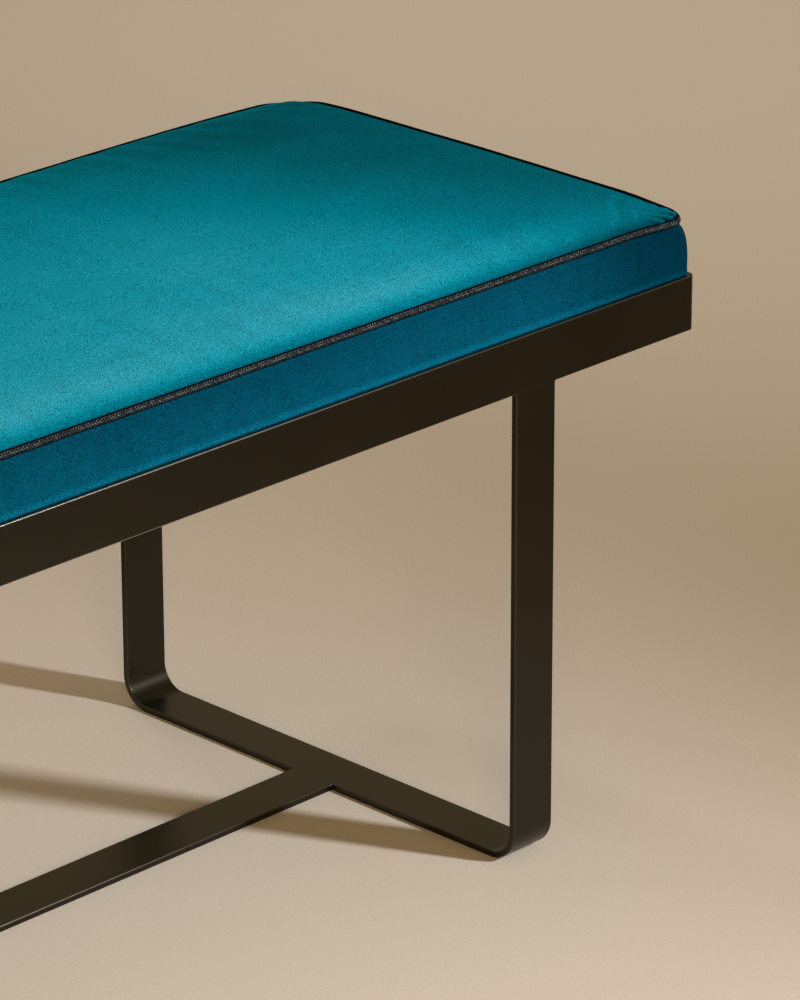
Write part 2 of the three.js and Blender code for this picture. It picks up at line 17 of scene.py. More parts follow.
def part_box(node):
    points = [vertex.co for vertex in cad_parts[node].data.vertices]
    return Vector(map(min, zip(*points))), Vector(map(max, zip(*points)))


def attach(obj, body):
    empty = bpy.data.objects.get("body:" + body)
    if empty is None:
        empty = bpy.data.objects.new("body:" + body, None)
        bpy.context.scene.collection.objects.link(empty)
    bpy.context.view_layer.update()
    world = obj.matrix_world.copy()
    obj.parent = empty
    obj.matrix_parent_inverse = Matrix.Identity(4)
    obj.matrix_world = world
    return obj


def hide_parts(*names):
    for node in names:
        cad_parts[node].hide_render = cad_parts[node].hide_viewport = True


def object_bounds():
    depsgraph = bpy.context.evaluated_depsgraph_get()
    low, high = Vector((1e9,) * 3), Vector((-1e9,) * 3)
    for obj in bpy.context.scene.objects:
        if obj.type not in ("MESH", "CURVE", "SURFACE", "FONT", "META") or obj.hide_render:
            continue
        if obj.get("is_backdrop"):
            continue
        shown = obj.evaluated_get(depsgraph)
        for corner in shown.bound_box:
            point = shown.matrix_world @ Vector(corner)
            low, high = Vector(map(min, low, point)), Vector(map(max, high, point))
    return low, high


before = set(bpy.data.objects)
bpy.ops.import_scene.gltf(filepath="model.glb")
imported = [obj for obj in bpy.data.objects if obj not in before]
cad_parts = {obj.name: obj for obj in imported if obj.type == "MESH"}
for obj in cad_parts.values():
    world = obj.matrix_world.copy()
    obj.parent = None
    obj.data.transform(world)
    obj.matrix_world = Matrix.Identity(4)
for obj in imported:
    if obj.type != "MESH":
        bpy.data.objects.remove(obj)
cad_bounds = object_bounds()
MM = 0.001

# %% [markdown]
# ## The sizes that the looks need
# The steel and the pad are already there, so their sizes are read from their boxes and not typed
# again. Only what a box can't tell, such as a bend's radius, is named here.

# %% Sizes of the steel
def box_corners(node):
    """The lowest and the highest corner of a piece's box."""
    return (np.array(corner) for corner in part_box(node))


end_low, end_high = box_corners("right_end_rail")
LENGTH = 2 * end_high[0]
RAIL_TOP = end_high[2]
RAIL_BOTTOM = end_low[2]
leg_low, leg_high = box_corners("right_leg_frame")
DEPTH = leg_high[1] - leg_low[1]
LEG_WIDTH = leg_high[0] - leg_low[0]
LEG_MIDDLE = (leg_high[0] + leg_low[0]) / 2
stretcher_low, stretcher_high = box_corners("floor_stretcher")
BAR = stretcher_high[2] - stretcher_low[2]
RAIL_CORNER = 6 * MM  # outside radius of the tray's corners in plan
LEG_BEND = 25 * MM  # outside radius of the bends at the floor
ARRIS = 0.6 * MM  # rounding of every edge of the bar
print(f"tray {LENGTH:.3f} x {DEPTH:.3f} m, from {RAIL_BOTTOM:.3f} to {RAIL_TOP:.3f} m above the floor")
print(f"bar {BAR * 1000:.1f} mm thick, legs {LEG_WIDTH * 1000:.0f} mm wide")

# %% [markdown]
# ## The camera
# The photograph is taken with a long lens, from the front left and from above. Only the right half
# of the bench is in it. A camera could be put there by eye, but a long lens shows every degree of
# error. So its place and angles were found by fitting the bench's straight edges to the
# photograph, and they are plain numbers.

# %% Camera
IMAGE_WIDTH, IMAGE_HEIGHT = 800, 1000
FOCAL_PIXELS = 5325.2312
SENSOR_MM = 36
CAMERA_PLACE = Vector((-2.16035, -2.61889, 1.70849))
CAMERA_YAW, CAMERA_PITCH, CAMERA_ROLL = 0.7764932910, 0.3829227116, -0.0026844654
FARTHEST_SEEN = 100


def make_camera():
    """Stands at its place and looks along yaw and pitch.

    The lens in millimetres is the focal pixels times the sensor over the picture's longer side."""
    ahead = Vector((
        math.cos(CAMERA_YAW) * math.cos(CAMERA_PITCH),
        math.sin(CAMERA_YAW) * math.cos(CAMERA_PITCH),
        -math.sin(CAMERA_PITCH),
    ))
    level = Vector((math.sin(CAMERA_YAW), -math.cos(CAMERA_YAW), 0))
    upright = level.cross(ahead)
    right = math.cos(CAMERA_ROLL) * level + math.sin(CAMERA_ROLL) * upright
    up = -math.sin(CAMERA_ROLL) * level + math.cos(CAMERA_ROLL) * upright
    data = bpy.data.cameras.new("camera")
    data.sensor_fit = "VERTICAL"
    data.sensor_width = data.sensor_height = SENSOR_MM
    data.lens = FOCAL_PIXELS * SENSOR_MM / max(IMAGE_WIDTH, IMAGE_HEIGHT)
    data.clip_end = FARTHEST_SEEN
    camera = bpy.data.objects.new("camera", data)
    turn = Matrix((right, up, -ahead)).transposed().to_4x4()
    camera.matrix_world = Matrix.Translation(CAMERA_PLACE) @ turn
    bpy.context.scene.collection.objects.link(camera)
    bpy.context.scene.camera = camera
    return camera


camera = make_camera()
print(f"camera: {camera.data.lens:.1f} mm lens")

# %% [markdown]
# ## Meshes from rows of points
# A surface is a grid of points, so its faces follow from the number of rows and columns alone.
# Building it point by point in a Python loop would be slow, so whole arrays go into the mesh.

# %% Mesh helpers
def grid_corners(rows, columns, ring_rows=False, ring_columns=False):
    """(row, column) of each quad's corners, counted on past the end where a ring closes.

    A ring joins the last line of points to the first."""
    i = np.arange(rows if ring_rows else rows - 1)[:, None]
    j = np.arange(columns if ring_columns else columns - 1)[None, :]
    i, j = np.broadcast_arrays(i, j)
    corners = (i, j), (i, j + 1), (i + 1, j + 1), (i + 1, j)
    return np.stack([np.stack(corner, -1) for corner in corners], 2).reshape(-1, 4, 2)


def grid_faces(rows, columns, ring_rows=False, ring_columns=False):
    """Quads of a grid of points: the number of a point is its row times the columns, plus its column."""
    corners = grid_corners(rows, columns, ring_rows, ring_columns) % (rows, columns)
    return corners[..., 0] * columns + corners[..., 1]


print("a tube of 3 rings of 4 points has", len(grid_faces(3, 4, ring_columns=True)), "quads")


# %% From points to an object
def signed_volume(points, face_sets):
    """A sixth of the sum of first corner . (second x third) over the triangles fanned from each face."""
    total = 0.0
    for faces in face_sets:
        first = points[faces[:, 0]]
        for k in range(1, faces.shape[1] - 1):
            spread = np.cross(points[faces[:, k]], points[faces[:, k + 1]])
            total += (first * spread).sum() / 6
    return total


SMOOTH_ALL_OVER = 180


def mesh_object(name, points, face_sets, sharp_degrees=35, closed=True, corner_uv=None):
    """Puts points and faces of any number of corners into a new object.

    A closed one is turned to face outwards, which it does where its signed volume is above 0."""
    points = np.asarray(points, float).reshape(-1, 3)
    face_sets = [np.atleast_2d(faces) for faces in face_sets]
    if closed and signed_volume(points, face_sets) < 0:
        face_sets = [faces[:, ::-1] for faces in face_sets]
        corner_uv = None if corner_uv is None else corner_uv[:, ::-1]
    corners = np.concatenate([faces.ravel() for faces in face_sets])
    counts = np.concatenate([np.full(len(faces), faces.shape[1]) for faces in face_sets])
    mesh = bpy.data.meshes.new(name)
    mesh.vertices.add(len(points))
    mesh.vertices.foreach_set("co", points.astype(np.float32).ravel())
    mesh.loops.add(len(corners))
    mesh.loops.foreach_set("vertex_index", corners.astype(np.int32))
    mesh.polygons.add(len(counts))
    mesh.polygons.foreach_set("loop_start", (np.cumsum(counts) - counts).astype(np.int32))
    mesh.update(calc_edges=True)
    if corner_uv is not None:
        mesh.uv_layers.new(name="UVMap").data.foreach_set("uv", corner_uv.astype(np.float32).ravel())
    mesh.polygons.foreach_set("use_smooth", np.ones(len(counts), bool))
    mesh.set_sharp_from_angle(angle=math.radians(sharp_degrees))
    mesh.update()
    made = bpy.data.objects.new(name, mesh)
    bpy.context.scene.collection.objects.link(made)
    return made


def add_attribute(made, name, values):
    """One number for each point, which a material can read."""
    attribute = made.data.attributes.new(name, "FLOAT", "POINT")
    attribute.data.foreach_set("value", np.asarray(values, np.float32).ravel())


# %% A piece's place in the part
def stands_for(made, slot, *nodes):
    """The piece rides on the bench and hides the nodes that it stands for; slot is not used."""
    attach(made, "root")
    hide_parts(*nodes)
    triangles = sum(len(p.vertices) - 2 for p in made.data.polygons)
    print(f"{made.name}: {triangles} triangles, stands for {', '.join(nodes)}")


# %% [markdown]
# ## Flat bar
# The frame is welded from flat bar, 5 mm thick, and painted. Hot-rolled bar never has knife edges:
# each arris is rounded a little, and that thin rounding is what catches the light in the photograph.
# Bevelling boxes would do for the straight bars, but the bends and the tray's corners need a
# section carried along a line, so all bars are made that one way.

# %% The section of a bar
ARRIS_STEPS = 3
ARRIS_MARGIN = 0.3 * MM


def bar_section(thickness, width):
    """The outline of a bar's section as (inwards, across, edge) rows.

    Each corner is a quarter circle of the arris radius. A margin away from it, on both faces, stands
    one more point, so that edge, 1 on the rounding, is back at 0 on the flat."""
    turn = np.linspace(0, np.pi / 2, ARRIS_STEPS + 1)
    rows = []
    for k, (deep, side) in enumerate(((0, -1), (0, 1), (1, 1), (1, -1))):
        centre = (thickness - ARRIS if deep else ARRIS, side * (width / 2 - ARRIS))
        angle = 1.5 * np.pi - k * np.pi / 2 - turn
        arc = np.stack([centre[0] + ARRIS * np.cos(angle), centre[1] + ARRIS * np.sin(angle)], -1)
        before = arc[0] + ARRIS_MARGIN * np.array([-np.sin(angle[0]), np.cos(angle[0])])
        after = arc[-1] + ARRIS_MARGIN * np.array([np.sin(angle[-1]), -np.cos(angle[-1])])
        rows += [[*before, 0], *[[*point, 1] for point in arc], [*after, 0]]
    return np.array(rows)


print("section of a leg:", len(bar_section(BAR, LEG_WIDTH)), "points")


# %% A bar along a line
def bar_along(name, line, inwards, across, thickness, width, flare=None):
    """Carries a bar's section along the line of its outer face.

    A point is line + inwards offset x inwards + across offset x across. The flare widens the bar
    at each point of the line, which makes the ground weld where it meets another bar."""
    section = bar_section(thickness, width)
    flare = np.zeros(len(line)) if flare is None else flare
    sideways = section[None, :, 1] + np.sign(section[None, :, 1]) * flare[:, None]
    points = (
        line[:, None, :]
        + section[None, :, 0, None] * inwards[:, None, :]
        + sideways[..., None] * np.asarray(across, float)
    )
    rows, columns = points.shape[:2]
    ends = [np.arange(columns)[None, ::-1], np.arange(columns)[None, :] + (rows - 1) * columns]
    made = mesh_object(name, points, [grid_faces(rows, columns, ring_columns=True), *ends])
    add_attribute(made, "edge", np.broadcast_to(section[None, :, 2], (rows, columns)))
    return made


def weld_flare(distance, reach, spread):
    """How far a weld stands out at a distance from the joint.

    It is a hollow quarter circle: spread times 1 - the root of 1 - the share of the reach squared."""
    share = np.clip(1 - distance / reach, 0, 1)
    return spread * (1 - np.sqrt(1 - share**2))


print("a weld 1 wide and 2 long, at 0, 1 and 2 from the joint:", weld_flare(np.arange(3), 2, 1).round(2))


# %% [markdown]
# ## The tray
# Four rails on edge, mitred at the corners. The bar is cut at 45 degrees, welded and ground, so the
# corner is a small even radius with nothing to see of the joint. Each rail ends exactly on the
# mitre, with the same points as its neighbour.

# %% Rails
CORNER_STEPS = 16
RAIL_CELLS = 40


def rail(name, reach, half_span, quarter_turns):
    """One side of the tray: an eighth of a circle, a straight run and an eighth of a circle."""
    bend = np.linspace(0, np.pi / 4, CORNER_STEPS + 1)
    centre = np.array([reach - RAIL_CORNER, half_span - RAIL_CORNER])
    angle = np.concatenate([bend - np.pi / 4, np.zeros(RAIL_CELLS - 1), bend])
    run = np.linspace(-centre[1], centre[1], RAIL_CELLS + 1)[1:-1]
    middle = np.concatenate([np.full(len(bend), -centre[1]), run, np.full(len(bend), centre[1])])
    outwards = np.stack([np.cos(angle), np.sin(angle)], -1)
    plan = np.stack([np.full(len(angle), centre[0]), middle], -1) + RAIL_CORNER * outwards
    cos, sin = math.cos(quarter_turns * np.pi / 2), math.sin(quarter_turns * np.pi / 2)
    turn = np.array([[cos, sin], [-sin, cos]])
    height = np.full((len(angle), 1), (RAIL_TOP + RAIL_BOTTOM) / 2)
    line = np.hstack([plan @ turn, height])
    inwards = np.hstack([-outwards @ turn, np.zeros((len(angle), 1))])
    return bar_along(name, line, inwards, (0, 0, 1), BAR, RAIL_TOP - RAIL_BOTTOM)


steel_pieces = []
for number, side in enumerate(("right_end", "back", "left_end", "front")):
    sizes = (LENGTH / 2, DEPTH / 2) if number % 2 == 0 else (DEPTH / 2, LENGTH / 2)
    made = rail(side + "_rail_bar", *sizes, number)
    stands_for(made, "black_steel", side + "_rail")
    steel_pieces.append(made)

# %% [markdown]
# ## The legs
# Each leg is one bar bent into a U: down the front, along the floor and up the back. Bending
# stretches the outside and squeezes the inside, and both arcs share one centre, which is what
# carrying the section along the line gives. At the top the bar is butted under the rail, flush
# with its face. It runs up by one arris radius, to fill the rail's rounding, and flares by a
# millimetre or two, as a weld does after it has been ground flat.

# %% Leg frames
BEND_STEPS = 24
LEG_CELLS = 12
WELD_REACH = 3 * MM
WELD_SPREAD = 1.6 * MM
WELD_STEPS = 6


def leg(name, middle):
    """The line goes down at y = -depth / 2, turns on two quarter circles and comes up at + depth / 2."""
    half = DEPTH / 2
    top = RAIL_BOTTOM + ARRIS
    weld = top - WELD_REACH * np.linspace(0, 1, WELD_STEPS + 1)
    down = np.concatenate([weld, np.linspace(weld[-1], LEG_BEND, LEG_CELLS)[1:-1]])
    bend = np.linspace(np.pi, 1.5 * np.pi, BEND_STEPS + 1)
    floor = np.linspace(-(half - LEG_BEND), 0, LEG_CELLS)[1:]
    y = np.concatenate([np.full(len(down), -half), LEG_BEND - half + LEG_BEND * np.cos(bend), floor])
    z = np.concatenate([down, LEG_BEND + LEG_BEND * np.sin(bend), np.zeros(len(floor))])
    angle = np.concatenate([np.full(len(down), np.pi), bend, np.full(len(floor), 1.5 * np.pi)])
    y, z = np.concatenate([y, -y[-2::-1]]), np.concatenate([z, z[-2::-1]])
    inward_y = np.concatenate([-np.cos(angle), np.cos(angle)[-2::-1]])
    inward_z = np.concatenate([-np.sin(angle), -np.sin(angle)[-2::-1]])
    line = np.stack([np.full(len(y), middle), y, z], -1)
    inwards = np.stack([np.zeros(len(y)), inward_y, inward_z], -1)
    flare = weld_flare(top - z, WELD_REACH, WELD_SPREAD)
    return bar_along(name, line, inwards, (1, 0, 0), BAR, LEG_WIDTH, flare)


for side, middle in (("left", -LEG_MIDDLE), ("right", LEG_MIDDLE)):
    made = leg(side + "_leg_bar", middle)
    stands_for(made, "black_steel", side + "_leg_frame")
    steel_pieces.append(made)

# %% [markdown]
# ## The stretcher
# A straight bar on the floor between the legs, its top flush with theirs. It keeps the legs from
# spreading. It could be a plain box, but then its arrises and its joints would be sharp, so it is
# carried along a line as well.

# %% Stretcher
STRETCHER_WELD_REACH = 2 * MM
STRETCHER_WELD_SPREAD = 1 * MM
STRETCHER_WELD_STEPS = 5


def stretcher():
    """Along x, with its outer face down, so inwards is up; each end fills the arris of the leg it meets."""
    half = stretcher_high[0] + ARRIS
    weld = half - STRETCHER_WELD_REACH * np.linspace(0, 1, STRETCHER_WELD_STEPS + 1)
    x = np.concatenate([-weld, np.linspace(-weld[-1], weld[-1], RAIL_CELLS)[1:-1], weld[::-1]])
    line = np.stack([x, np.zeros(len(x)), np.zeros(len(x))], -1)
    inwards = np.tile([0.0, 0.0, 1.0], (len(x), 1))
    flare = weld_flare(half - np.abs(x), STRETCHER_WELD_REACH, STRETCHER_WELD_SPREAD)
    width = stretcher_high[1] - stretcher_low[1]
    return bar_along("stretcher_bar", line, inwards, (0, 1, 0), BAR, width, flare)


made = stretcher()
stands_for(made, "black_steel", "floor_stretcher")
steel_pieces.append(made)

# %% [markdown]
# ## Cross bars
# Three short bars lie across the tray's bottom. They close the tops of the legs and carry the pad.
# They have screw holes, so the frame's own solid is copied, its loose triangles are merged, and a
# Bevel modifier rounds its edges.

# %% Bevelled copies
MERGE_DISTANCE = 0.01 * MM
FLAT_DEGREES = 5
BEVEL_DEGREES = 40
BEVEL_SEGMENTS = 2


def bevelled_copy(name, node, width):
    """The node's mesh, merged and freed of the lines across its flat faces, with its edges rounded."""
    made = bpy.data.objects.new(name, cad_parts[node].data.copy())
    made.data.materials.clear()
    made.data.name = name
    bpy.context.scene.collection.objects.link(made)
    work = bmesh.new()
    work.from_mesh(made.data)
    bmesh.ops.remove_doubles(work, verts=work.verts, dist=MERGE_DISTANCE)
    flat = math.radians(FLAT_DEGREES)
    bmesh.ops.dissolve_limit(work, angle_limit=flat, verts=work.verts, edges=work.edges)
    work.to_mesh(made.data)
    work.free()
    bevel = made.modifiers.new("rounded edges", "BEVEL")
    bevel.width = width
    bevel.segments = BEVEL_SEGMENTS
    bevel.limit_method = "ANGLE"
    bevel.angle_limit = math.radians(BEVEL_DEGREES)
    made.modifiers.new("flat faces stay flat", "WEIGHTED_NORMAL")
    made.data.polygons.foreach_set("use_smooth", np.ones(len(made.data.polygons), bool))
    return made


for side in ("left", "middle", "right"):
    made = bevelled_copy(side + "_cross_flat", side + "_cross_bar", ARRIS)
    stands_for(made, "black_steel", side + "_cross_bar")
    steel_pieces.append(made)

print(f"steel: {len(steel_pieces)} bars")

# %% [markdown]
# ## The shape of the pad
# The pad is a board with foam and wadding on it, pulled tight in a sewn velvet cover. The cover has
# a crowned top panel and a strip round its sides, and a cord is sewn in where they meet. A pad like
# this could be blown up from a box by simulation alone, but then its seam would wander. So its
# shape is a function of a place on a rectangle, as a pattern cutter would draw it, and a cloth
# simulation only adds the softness at the end.

# %% Levels of the pad
SEAM_INSET = 4 * MM  # outer face of the tray to the middle of the cord
CORD_RADIUS = 3.0 * MM
SEAM_HEIGHT = RAIL_TOP + 46.6 * MM  # in the middle of the depth
SEAM_DROP = 1.4 * MM  # how much lower the long sides are
CROWN = 9.8 * MM
CROWN_POWER = 2.6
FRONT_CORNER, BACK_CORNER = 22 * MM, 36 * MM  # radius of the seam's corners in plan
FRONT_DIP, BACK_DIP = 2.7 * MM, 4 * MM  # how far the seam sinks at a corner
DIP_REACH = 70 * MM  # across the depth, and along the front
BACK_DIP_REACH = 180 * MM  # along the back
SIDE_DRAW = 1.2 * MM  # how far a long side pulls in between its corners
HALF_X, HALF_Y = LENGTH / 2 - SEAM_INSET, DEPTH / 2 - SEAM_INSET
SMALL_LENGTH = 1e-9  # stands in for a length of 0, which can't be divided by
print(f"seam {2 * HALF_X:.3f} x {2 * HALF_Y:.3f} m, {SEAM_HEIGHT:.4f} m above the floor")


# %% The shape as a function
LEAST_RADIUS = 1e-6


def smooth(value, low, high):
    """0 below low, 1 above high, and 3 t squared - 2 t cubed of the share t of the way between them."""
    t = np.clip((value - low) / (high - low), 0, 1)
    return t * t * (3 - 2 * t)


def corner_dip(x, y):
    """How far the seam is below its height in the middle of the ends.

    share goes from 1 at a corner to 0 at the reach. A back corner drops by its square, a front one
    by 3 share squared - 2 share cubed, and the long sides by the share of the way to them to the
    power 1.5."""
    reach_x = np.where(y < 0, DIP_REACH, BACK_DIP_REACH)
    away = np.hypot((HALF_X - np.abs(x)) / reach_x, (HALF_Y - np.abs(y)) / DIP_REACH)
    share = np.clip(1 - away, 0, 1)
    dip = np.where(y < 0, FRONT_DIP * smooth(share, 0, 1), BACK_DIP * share**2)
    return dip + SEAM_DROP * np.abs(y / HALF_Y) ** 1.5


def crown(x, y):
    """The crown times the root of 1 - (1 - share) to the crown's power, over the share of the way in.

    The distance in is the product of those to an end and to a side over the root of the sum of their
    squares, which rounds the corners off."""
    in_x, in_y = HALF_X - np.abs(x), HALF_Y - np.abs(y)
    inward = in_x * in_y / np.maximum(np.hypot(in_x, in_y), SMALL_LENGTH)
    share = np.clip(inward / HALF_Y, 0, 1)
    return CROWN * np.sqrt(1 - (1 - share) ** CROWN_POWER)


def place_on(x, y, inset, corner, height, form):
    """Where a point of the rectangle lies on one level of the pad.

    The level is a rectangle, inset from the tray's outer faces. Each corner square is squeezed into
    a quarter disc: x times the root of 1 - y squared / 2, and the same for y. corner is the share of
    the seam's corner radius, and form the share of its dip, that the level takes. Every level draws
    in along the long sides by the side draw times 1 - the square of the share of the way to an end."""
    half_x, half_y = LENGTH / 2 - inset, DEPTH / 2 - inset
    radius = np.maximum(np.where(y < 0, FRONT_CORNER, BACK_CORNER) * corner, LEAST_RADIUS)
    wide_x, wide_y = np.abs(x) * half_x / HALF_X, np.abs(y) * half_y / HALF_Y
    over_x = np.clip((wide_x - half_x + radius) / radius, 0, 1)
    over_y = np.clip((wide_y - half_y + radius) / radius, 0, 1)
    round_x = np.minimum(wide_x, half_x - radius) + radius * over_x * np.sqrt(1 - over_y**2 / 2)
    round_y = np.minimum(wide_y, half_y - radius) + radius * over_y * np.sqrt(1 - over_x**2 / 2)
    draw_y = SIDE_DRAW * (1 - (x / HALF_X) ** 2) / half_y
    z = height - corner_dip(x, y) * form
    return np.stack([np.sign(x) * round_x, np.sign(y) * round_y * (1 - draw_y), z], -1)


print(f"crown {crown(0, 0) * 1000:.1f} mm, front corners {corner_dip(HALF_X, -HALF_Y) * 1000:.1f} mm lower")


# %% [markdown]
# ## Rows of the pad
# Cover, wadding and foam lie on each other like the skins of an onion, so one grid serves them all:
# the rectangle is cut into cells, and its rim is the ring of points that the sides carry down. The
# crown is added to the sheet inside the rim. Scaling one mesh up and down would be quicker, but the
# layers would then be thicker at the ends than at the sides.

# %% A skin from rings and a sheet
FINE_CELL, WIDE_CELL = 2.2 * MM, 6.5 * MM
FINE_BAND = 60 * MM


def cell_lines(half):
    """Lines from -half to half: fine cells near both ends, for the scallops, and wide ones between."""
    inner = half - FINE_BAND
    fine = np.linspace(inner, half, round(FINE_BAND / FINE_CELL) + 1)[1:]
    wide = np.linspace(-inner, inner, round(2 * inner / WIDE_CELL) + 1)
    return np.concatenate([-fine[::-1], wide, fine])


SHEET_X, SHEET_Y = np.meshgrid(cell_lines(HALF_X), cell_lines(HALF_Y))
print("sheet:", " x ".join(str(count) for count in SHEET_X.shape), "points")


def rim(table):
    """The outermost values of a table, anticlockwise from its first corner."""
    return np.concatenate([table[0, :-1], table[:-1, -1], table[-1, :0:-1], table[:0:-1, 0]])


def sheet_points(inset, corner, height, form, rise=1.0):
    """The whole sheet on one level, lifted by a share of the crown; inset and height may be tables."""
    points = place_on(SHEET_X, SHEET_Y, inset, corner, height, form)
    points[..., 2] += rise * crown(SHEET_X, SHEET_Y)
    return points


def skin(name, levels, top, bottom=None):
    """A skin of rings, from the bottom up, that ends in a sheet on top and, if asked, one below."""
    rim_x, rim_y = rim(SHEET_X), rim(SHEET_Y)
    rings = [place_on(rim_x, rim_y, *level) for level in levels]
    sheets = [sheet_points(*top)] + ([] if bottom is None else [sheet_points(*bottom)])
    numbers = np.arange(SHEET_X.size).reshape(SHEET_X.shape)
    columns = len(rim_x)
    points = [sheet.reshape(-1, 3) for sheet in sheets] + rings
    first = len(sheets) * SHEET_X.size
    wall = grid_faces(len(rings), columns, ring_columns=True) + first
    start = np.arange(columns)
    after = np.roll(start, -1)
    last = first + (len(rings) - 1) * columns
    edge = rim(numbers)
    join = np.stack([last + start, last + after, edge[after], edge[start]], -1)
    faces = [np.concatenate([wall, join, grid_faces(*SHEET_X.shape)])]
    if bottom is not None:
        low = edge + SHEET_X.size
        under = np.stack([low[start], low[after], first + after, first + start], -1)
        faces.append(np.concatenate([under, grid_faces(*SHEET_X.shape)[:, ::-1] + SHEET_X.size]))
    closed = bottom is not None
    return mesh_object(name, np.concatenate(points), [np.concatenate(faces)], SMOOTH_ALL_OVER, closed)


# %% [markdown]
# ## The velvet cover
# From the bottom up the cover's outside is turned under the board, runs up inside the tray, bulges
# out a little over the tray's edge and leans in to the cord. It goes round the inner half of the
# cord in a narrow groove, which is where the seam pulls it down, and then over the crown. A
# Solidify modifier gives the open skin the thickness of velvet. The bulge is a curve through a few
# listed shares, because what counts is how full it looks.

# %% Sizes of the cover
VELVET = 1.4 * MM
TRAY_GAP = 5.4 * MM  # outer face of the tray to the pad inside it
TRAY_CORNER = 0.08  # share of the seam's corner radius that the pad has inside the tray
PAD_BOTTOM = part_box("border_band")[0][2]
BASE_ROUND = 1.5 * MM
TURN_UNDER = 25 * MM
BELOW_RIM = 4 * MM  # from here up the cover leaves the tray's wall
WALL = SEAM_HEIGHT - CORD_RADIUS - RAIL_TOP
SIDE = 3.5 * MM  # inset of the side where it stands out furthest
LIP = 4.2 * MM  # inset where it leaves the tray
SIDE_STEPS = 3  # levels from one share to the next
SIDE_SHARES = np.array([  # how high, how far in from side to lip, how round
    (0.00, 1.10, 0.06), (0.04, 0.60, 0.08), (0.16, 0.10, 0.10), (0.50, 0.00, 0.16),
    (0.76, 0.05, 0.34), (0.92, 0.35, 0.64), (1.00, 0.71, 1.00),
])


def side_levels():
    """The side above the tray as (inset, corner, height, form) levels, on a smooth curve.

    Between two shares b and c, with a before and d after them, it is half of 2b + (c - a) t +
    (2a - 5b + 4c - d) t squared + (3b - a - 3c + d) t cubed, for t from 0 to 1."""
    first, last = 2 * SIDE_SHARES[0] - SIDE_SHARES[1], 2 * SIDE_SHARES[-1] - SIDE_SHARES[-2]
    padded = np.vstack([first, SIDE_SHARES, last])
    t = np.arange(SIDE_STEPS)[:, None] / SIDE_STEPS
    rows = []
    for a, b, c, d in zip(padded, padded[1:], padded[2:], padded[3:]):
        cubic = 2 * b + (c - a) * t + (2 * a - 5 * b + 4 * c - d) * t**2 + (3 * b - a - 3 * c + d) * t**3
        rows.append(cubic / 2)
    rows = np.vstack([*rows, SIDE_SHARES[-1:]])
    return [(SIDE + (LIP - SIDE) * out, corner, RAIL_TOP + WALL * high, high) for high, out, corner in rows]


cover_levels = [
    (TRAY_GAP + TURN_UNDER, TRAY_CORNER, PAD_BOTTOM, 0),
    (TRAY_GAP + TURN_UNDER / 2, TRAY_CORNER, PAD_BOTTOM, 0),
    (TRAY_GAP + BASE_ROUND, TRAY_CORNER, PAD_BOTTOM, 0),
    (TRAY_GAP + BASE_ROUND / 4, TRAY_CORNER, PAD_BOTTOM + BASE_ROUND / 4, 0),
    (TRAY_GAP, TRAY_CORNER, PAD_BOTTOM + BASE_ROUND, 0),
    (TRAY_GAP, TRAY_CORNER, RAIL_TOP - BELOW_RIM, 0),
    *side_levels(),
    # the last two go round the cord, by shares of its radius and of the seam's corner
    (SEAM_INSET + 0.45 * CORD_RADIUS, 0.98, SEAM_HEIGHT - 0.9 * CORD_RADIUS, 1),
    (SEAM_INSET + 0.9 * CORD_RADIUS, 0.95, SEAM_HEIGHT - 0.35 * CORD_RADIUS, 1),
]
print("cover:", len(cover_levels), "levels from the turned-under edge to the cord")

# %% [markdown]
# ## Scallops and gathers
# A sewn panel isn't smooth at its edge. Where the seam turns a tight front corner the velvet has too
# much length and stands in small scallops, and along the back it has soft gathers. In front the
# filling pushes the panel a little over the cord. Sculpting all this by hand would look as good, but
# couldn't be repeated, so each is a cosine or a smooth step that fades inwards.

# %% The edge of the panel
PANEL_EDGE = SEAM_INSET + 2.6 * MM
PANEL_CORNER = 0.87  # share of the seam's corner radius
# how far the filling pushes the panel up beside the cord: in front, behind and at the ends
PANEL_LIFT, BACK_LIFT, END_LIFT = 3.0 * MM, 2.3 * MM, 1.8 * MM
FRONT_LAP = 1.4 * MM  # how much further out the panel reaches over the cord in front
LAP_REACH = 22 * MM
SCALLOP, SCALLOP_PITCH, SCALLOP_FADE = 1.2 * MM, 13 * MM, 14 * MM
SCALLOP_FULL, SCALLOP_REACH = 10 * MM, 45 * MM  # distance round the corner with full ones, and with any
SCALLOP_OUT = 0.6  # how far a scallop goes out for its height
GATHER, GATHER_FADE = 0.2 * MM, 35 * MM
GATHER_PITCHES, GATHER_SHIFT = (31 * MM, 47 * MM), 2  # two waves, the second shifted by radians
GATHER_START = 180 * MM  # full this far from an end


def scallop_wave(x, y):
    """-1 to 1: a cosine of the way round a front corner.

    It fades inwards as e to the power of - the distance over the fade."""
    in_x, in_y = HALF_X - np.abs(x), HALF_Y - np.abs(y)
    round_corner = in_y - in_x
    near_corner = smooth(-np.abs(round_corner), -SCALLOP_REACH, -SCALLOP_FULL) * (y < 0)
    fade = np.exp(-np.minimum(in_x, in_y).clip(0) / SCALLOP_FADE)
    return near_corner * fade * np.cos(2 * np.pi * round_corner / SCALLOP_PITCH)


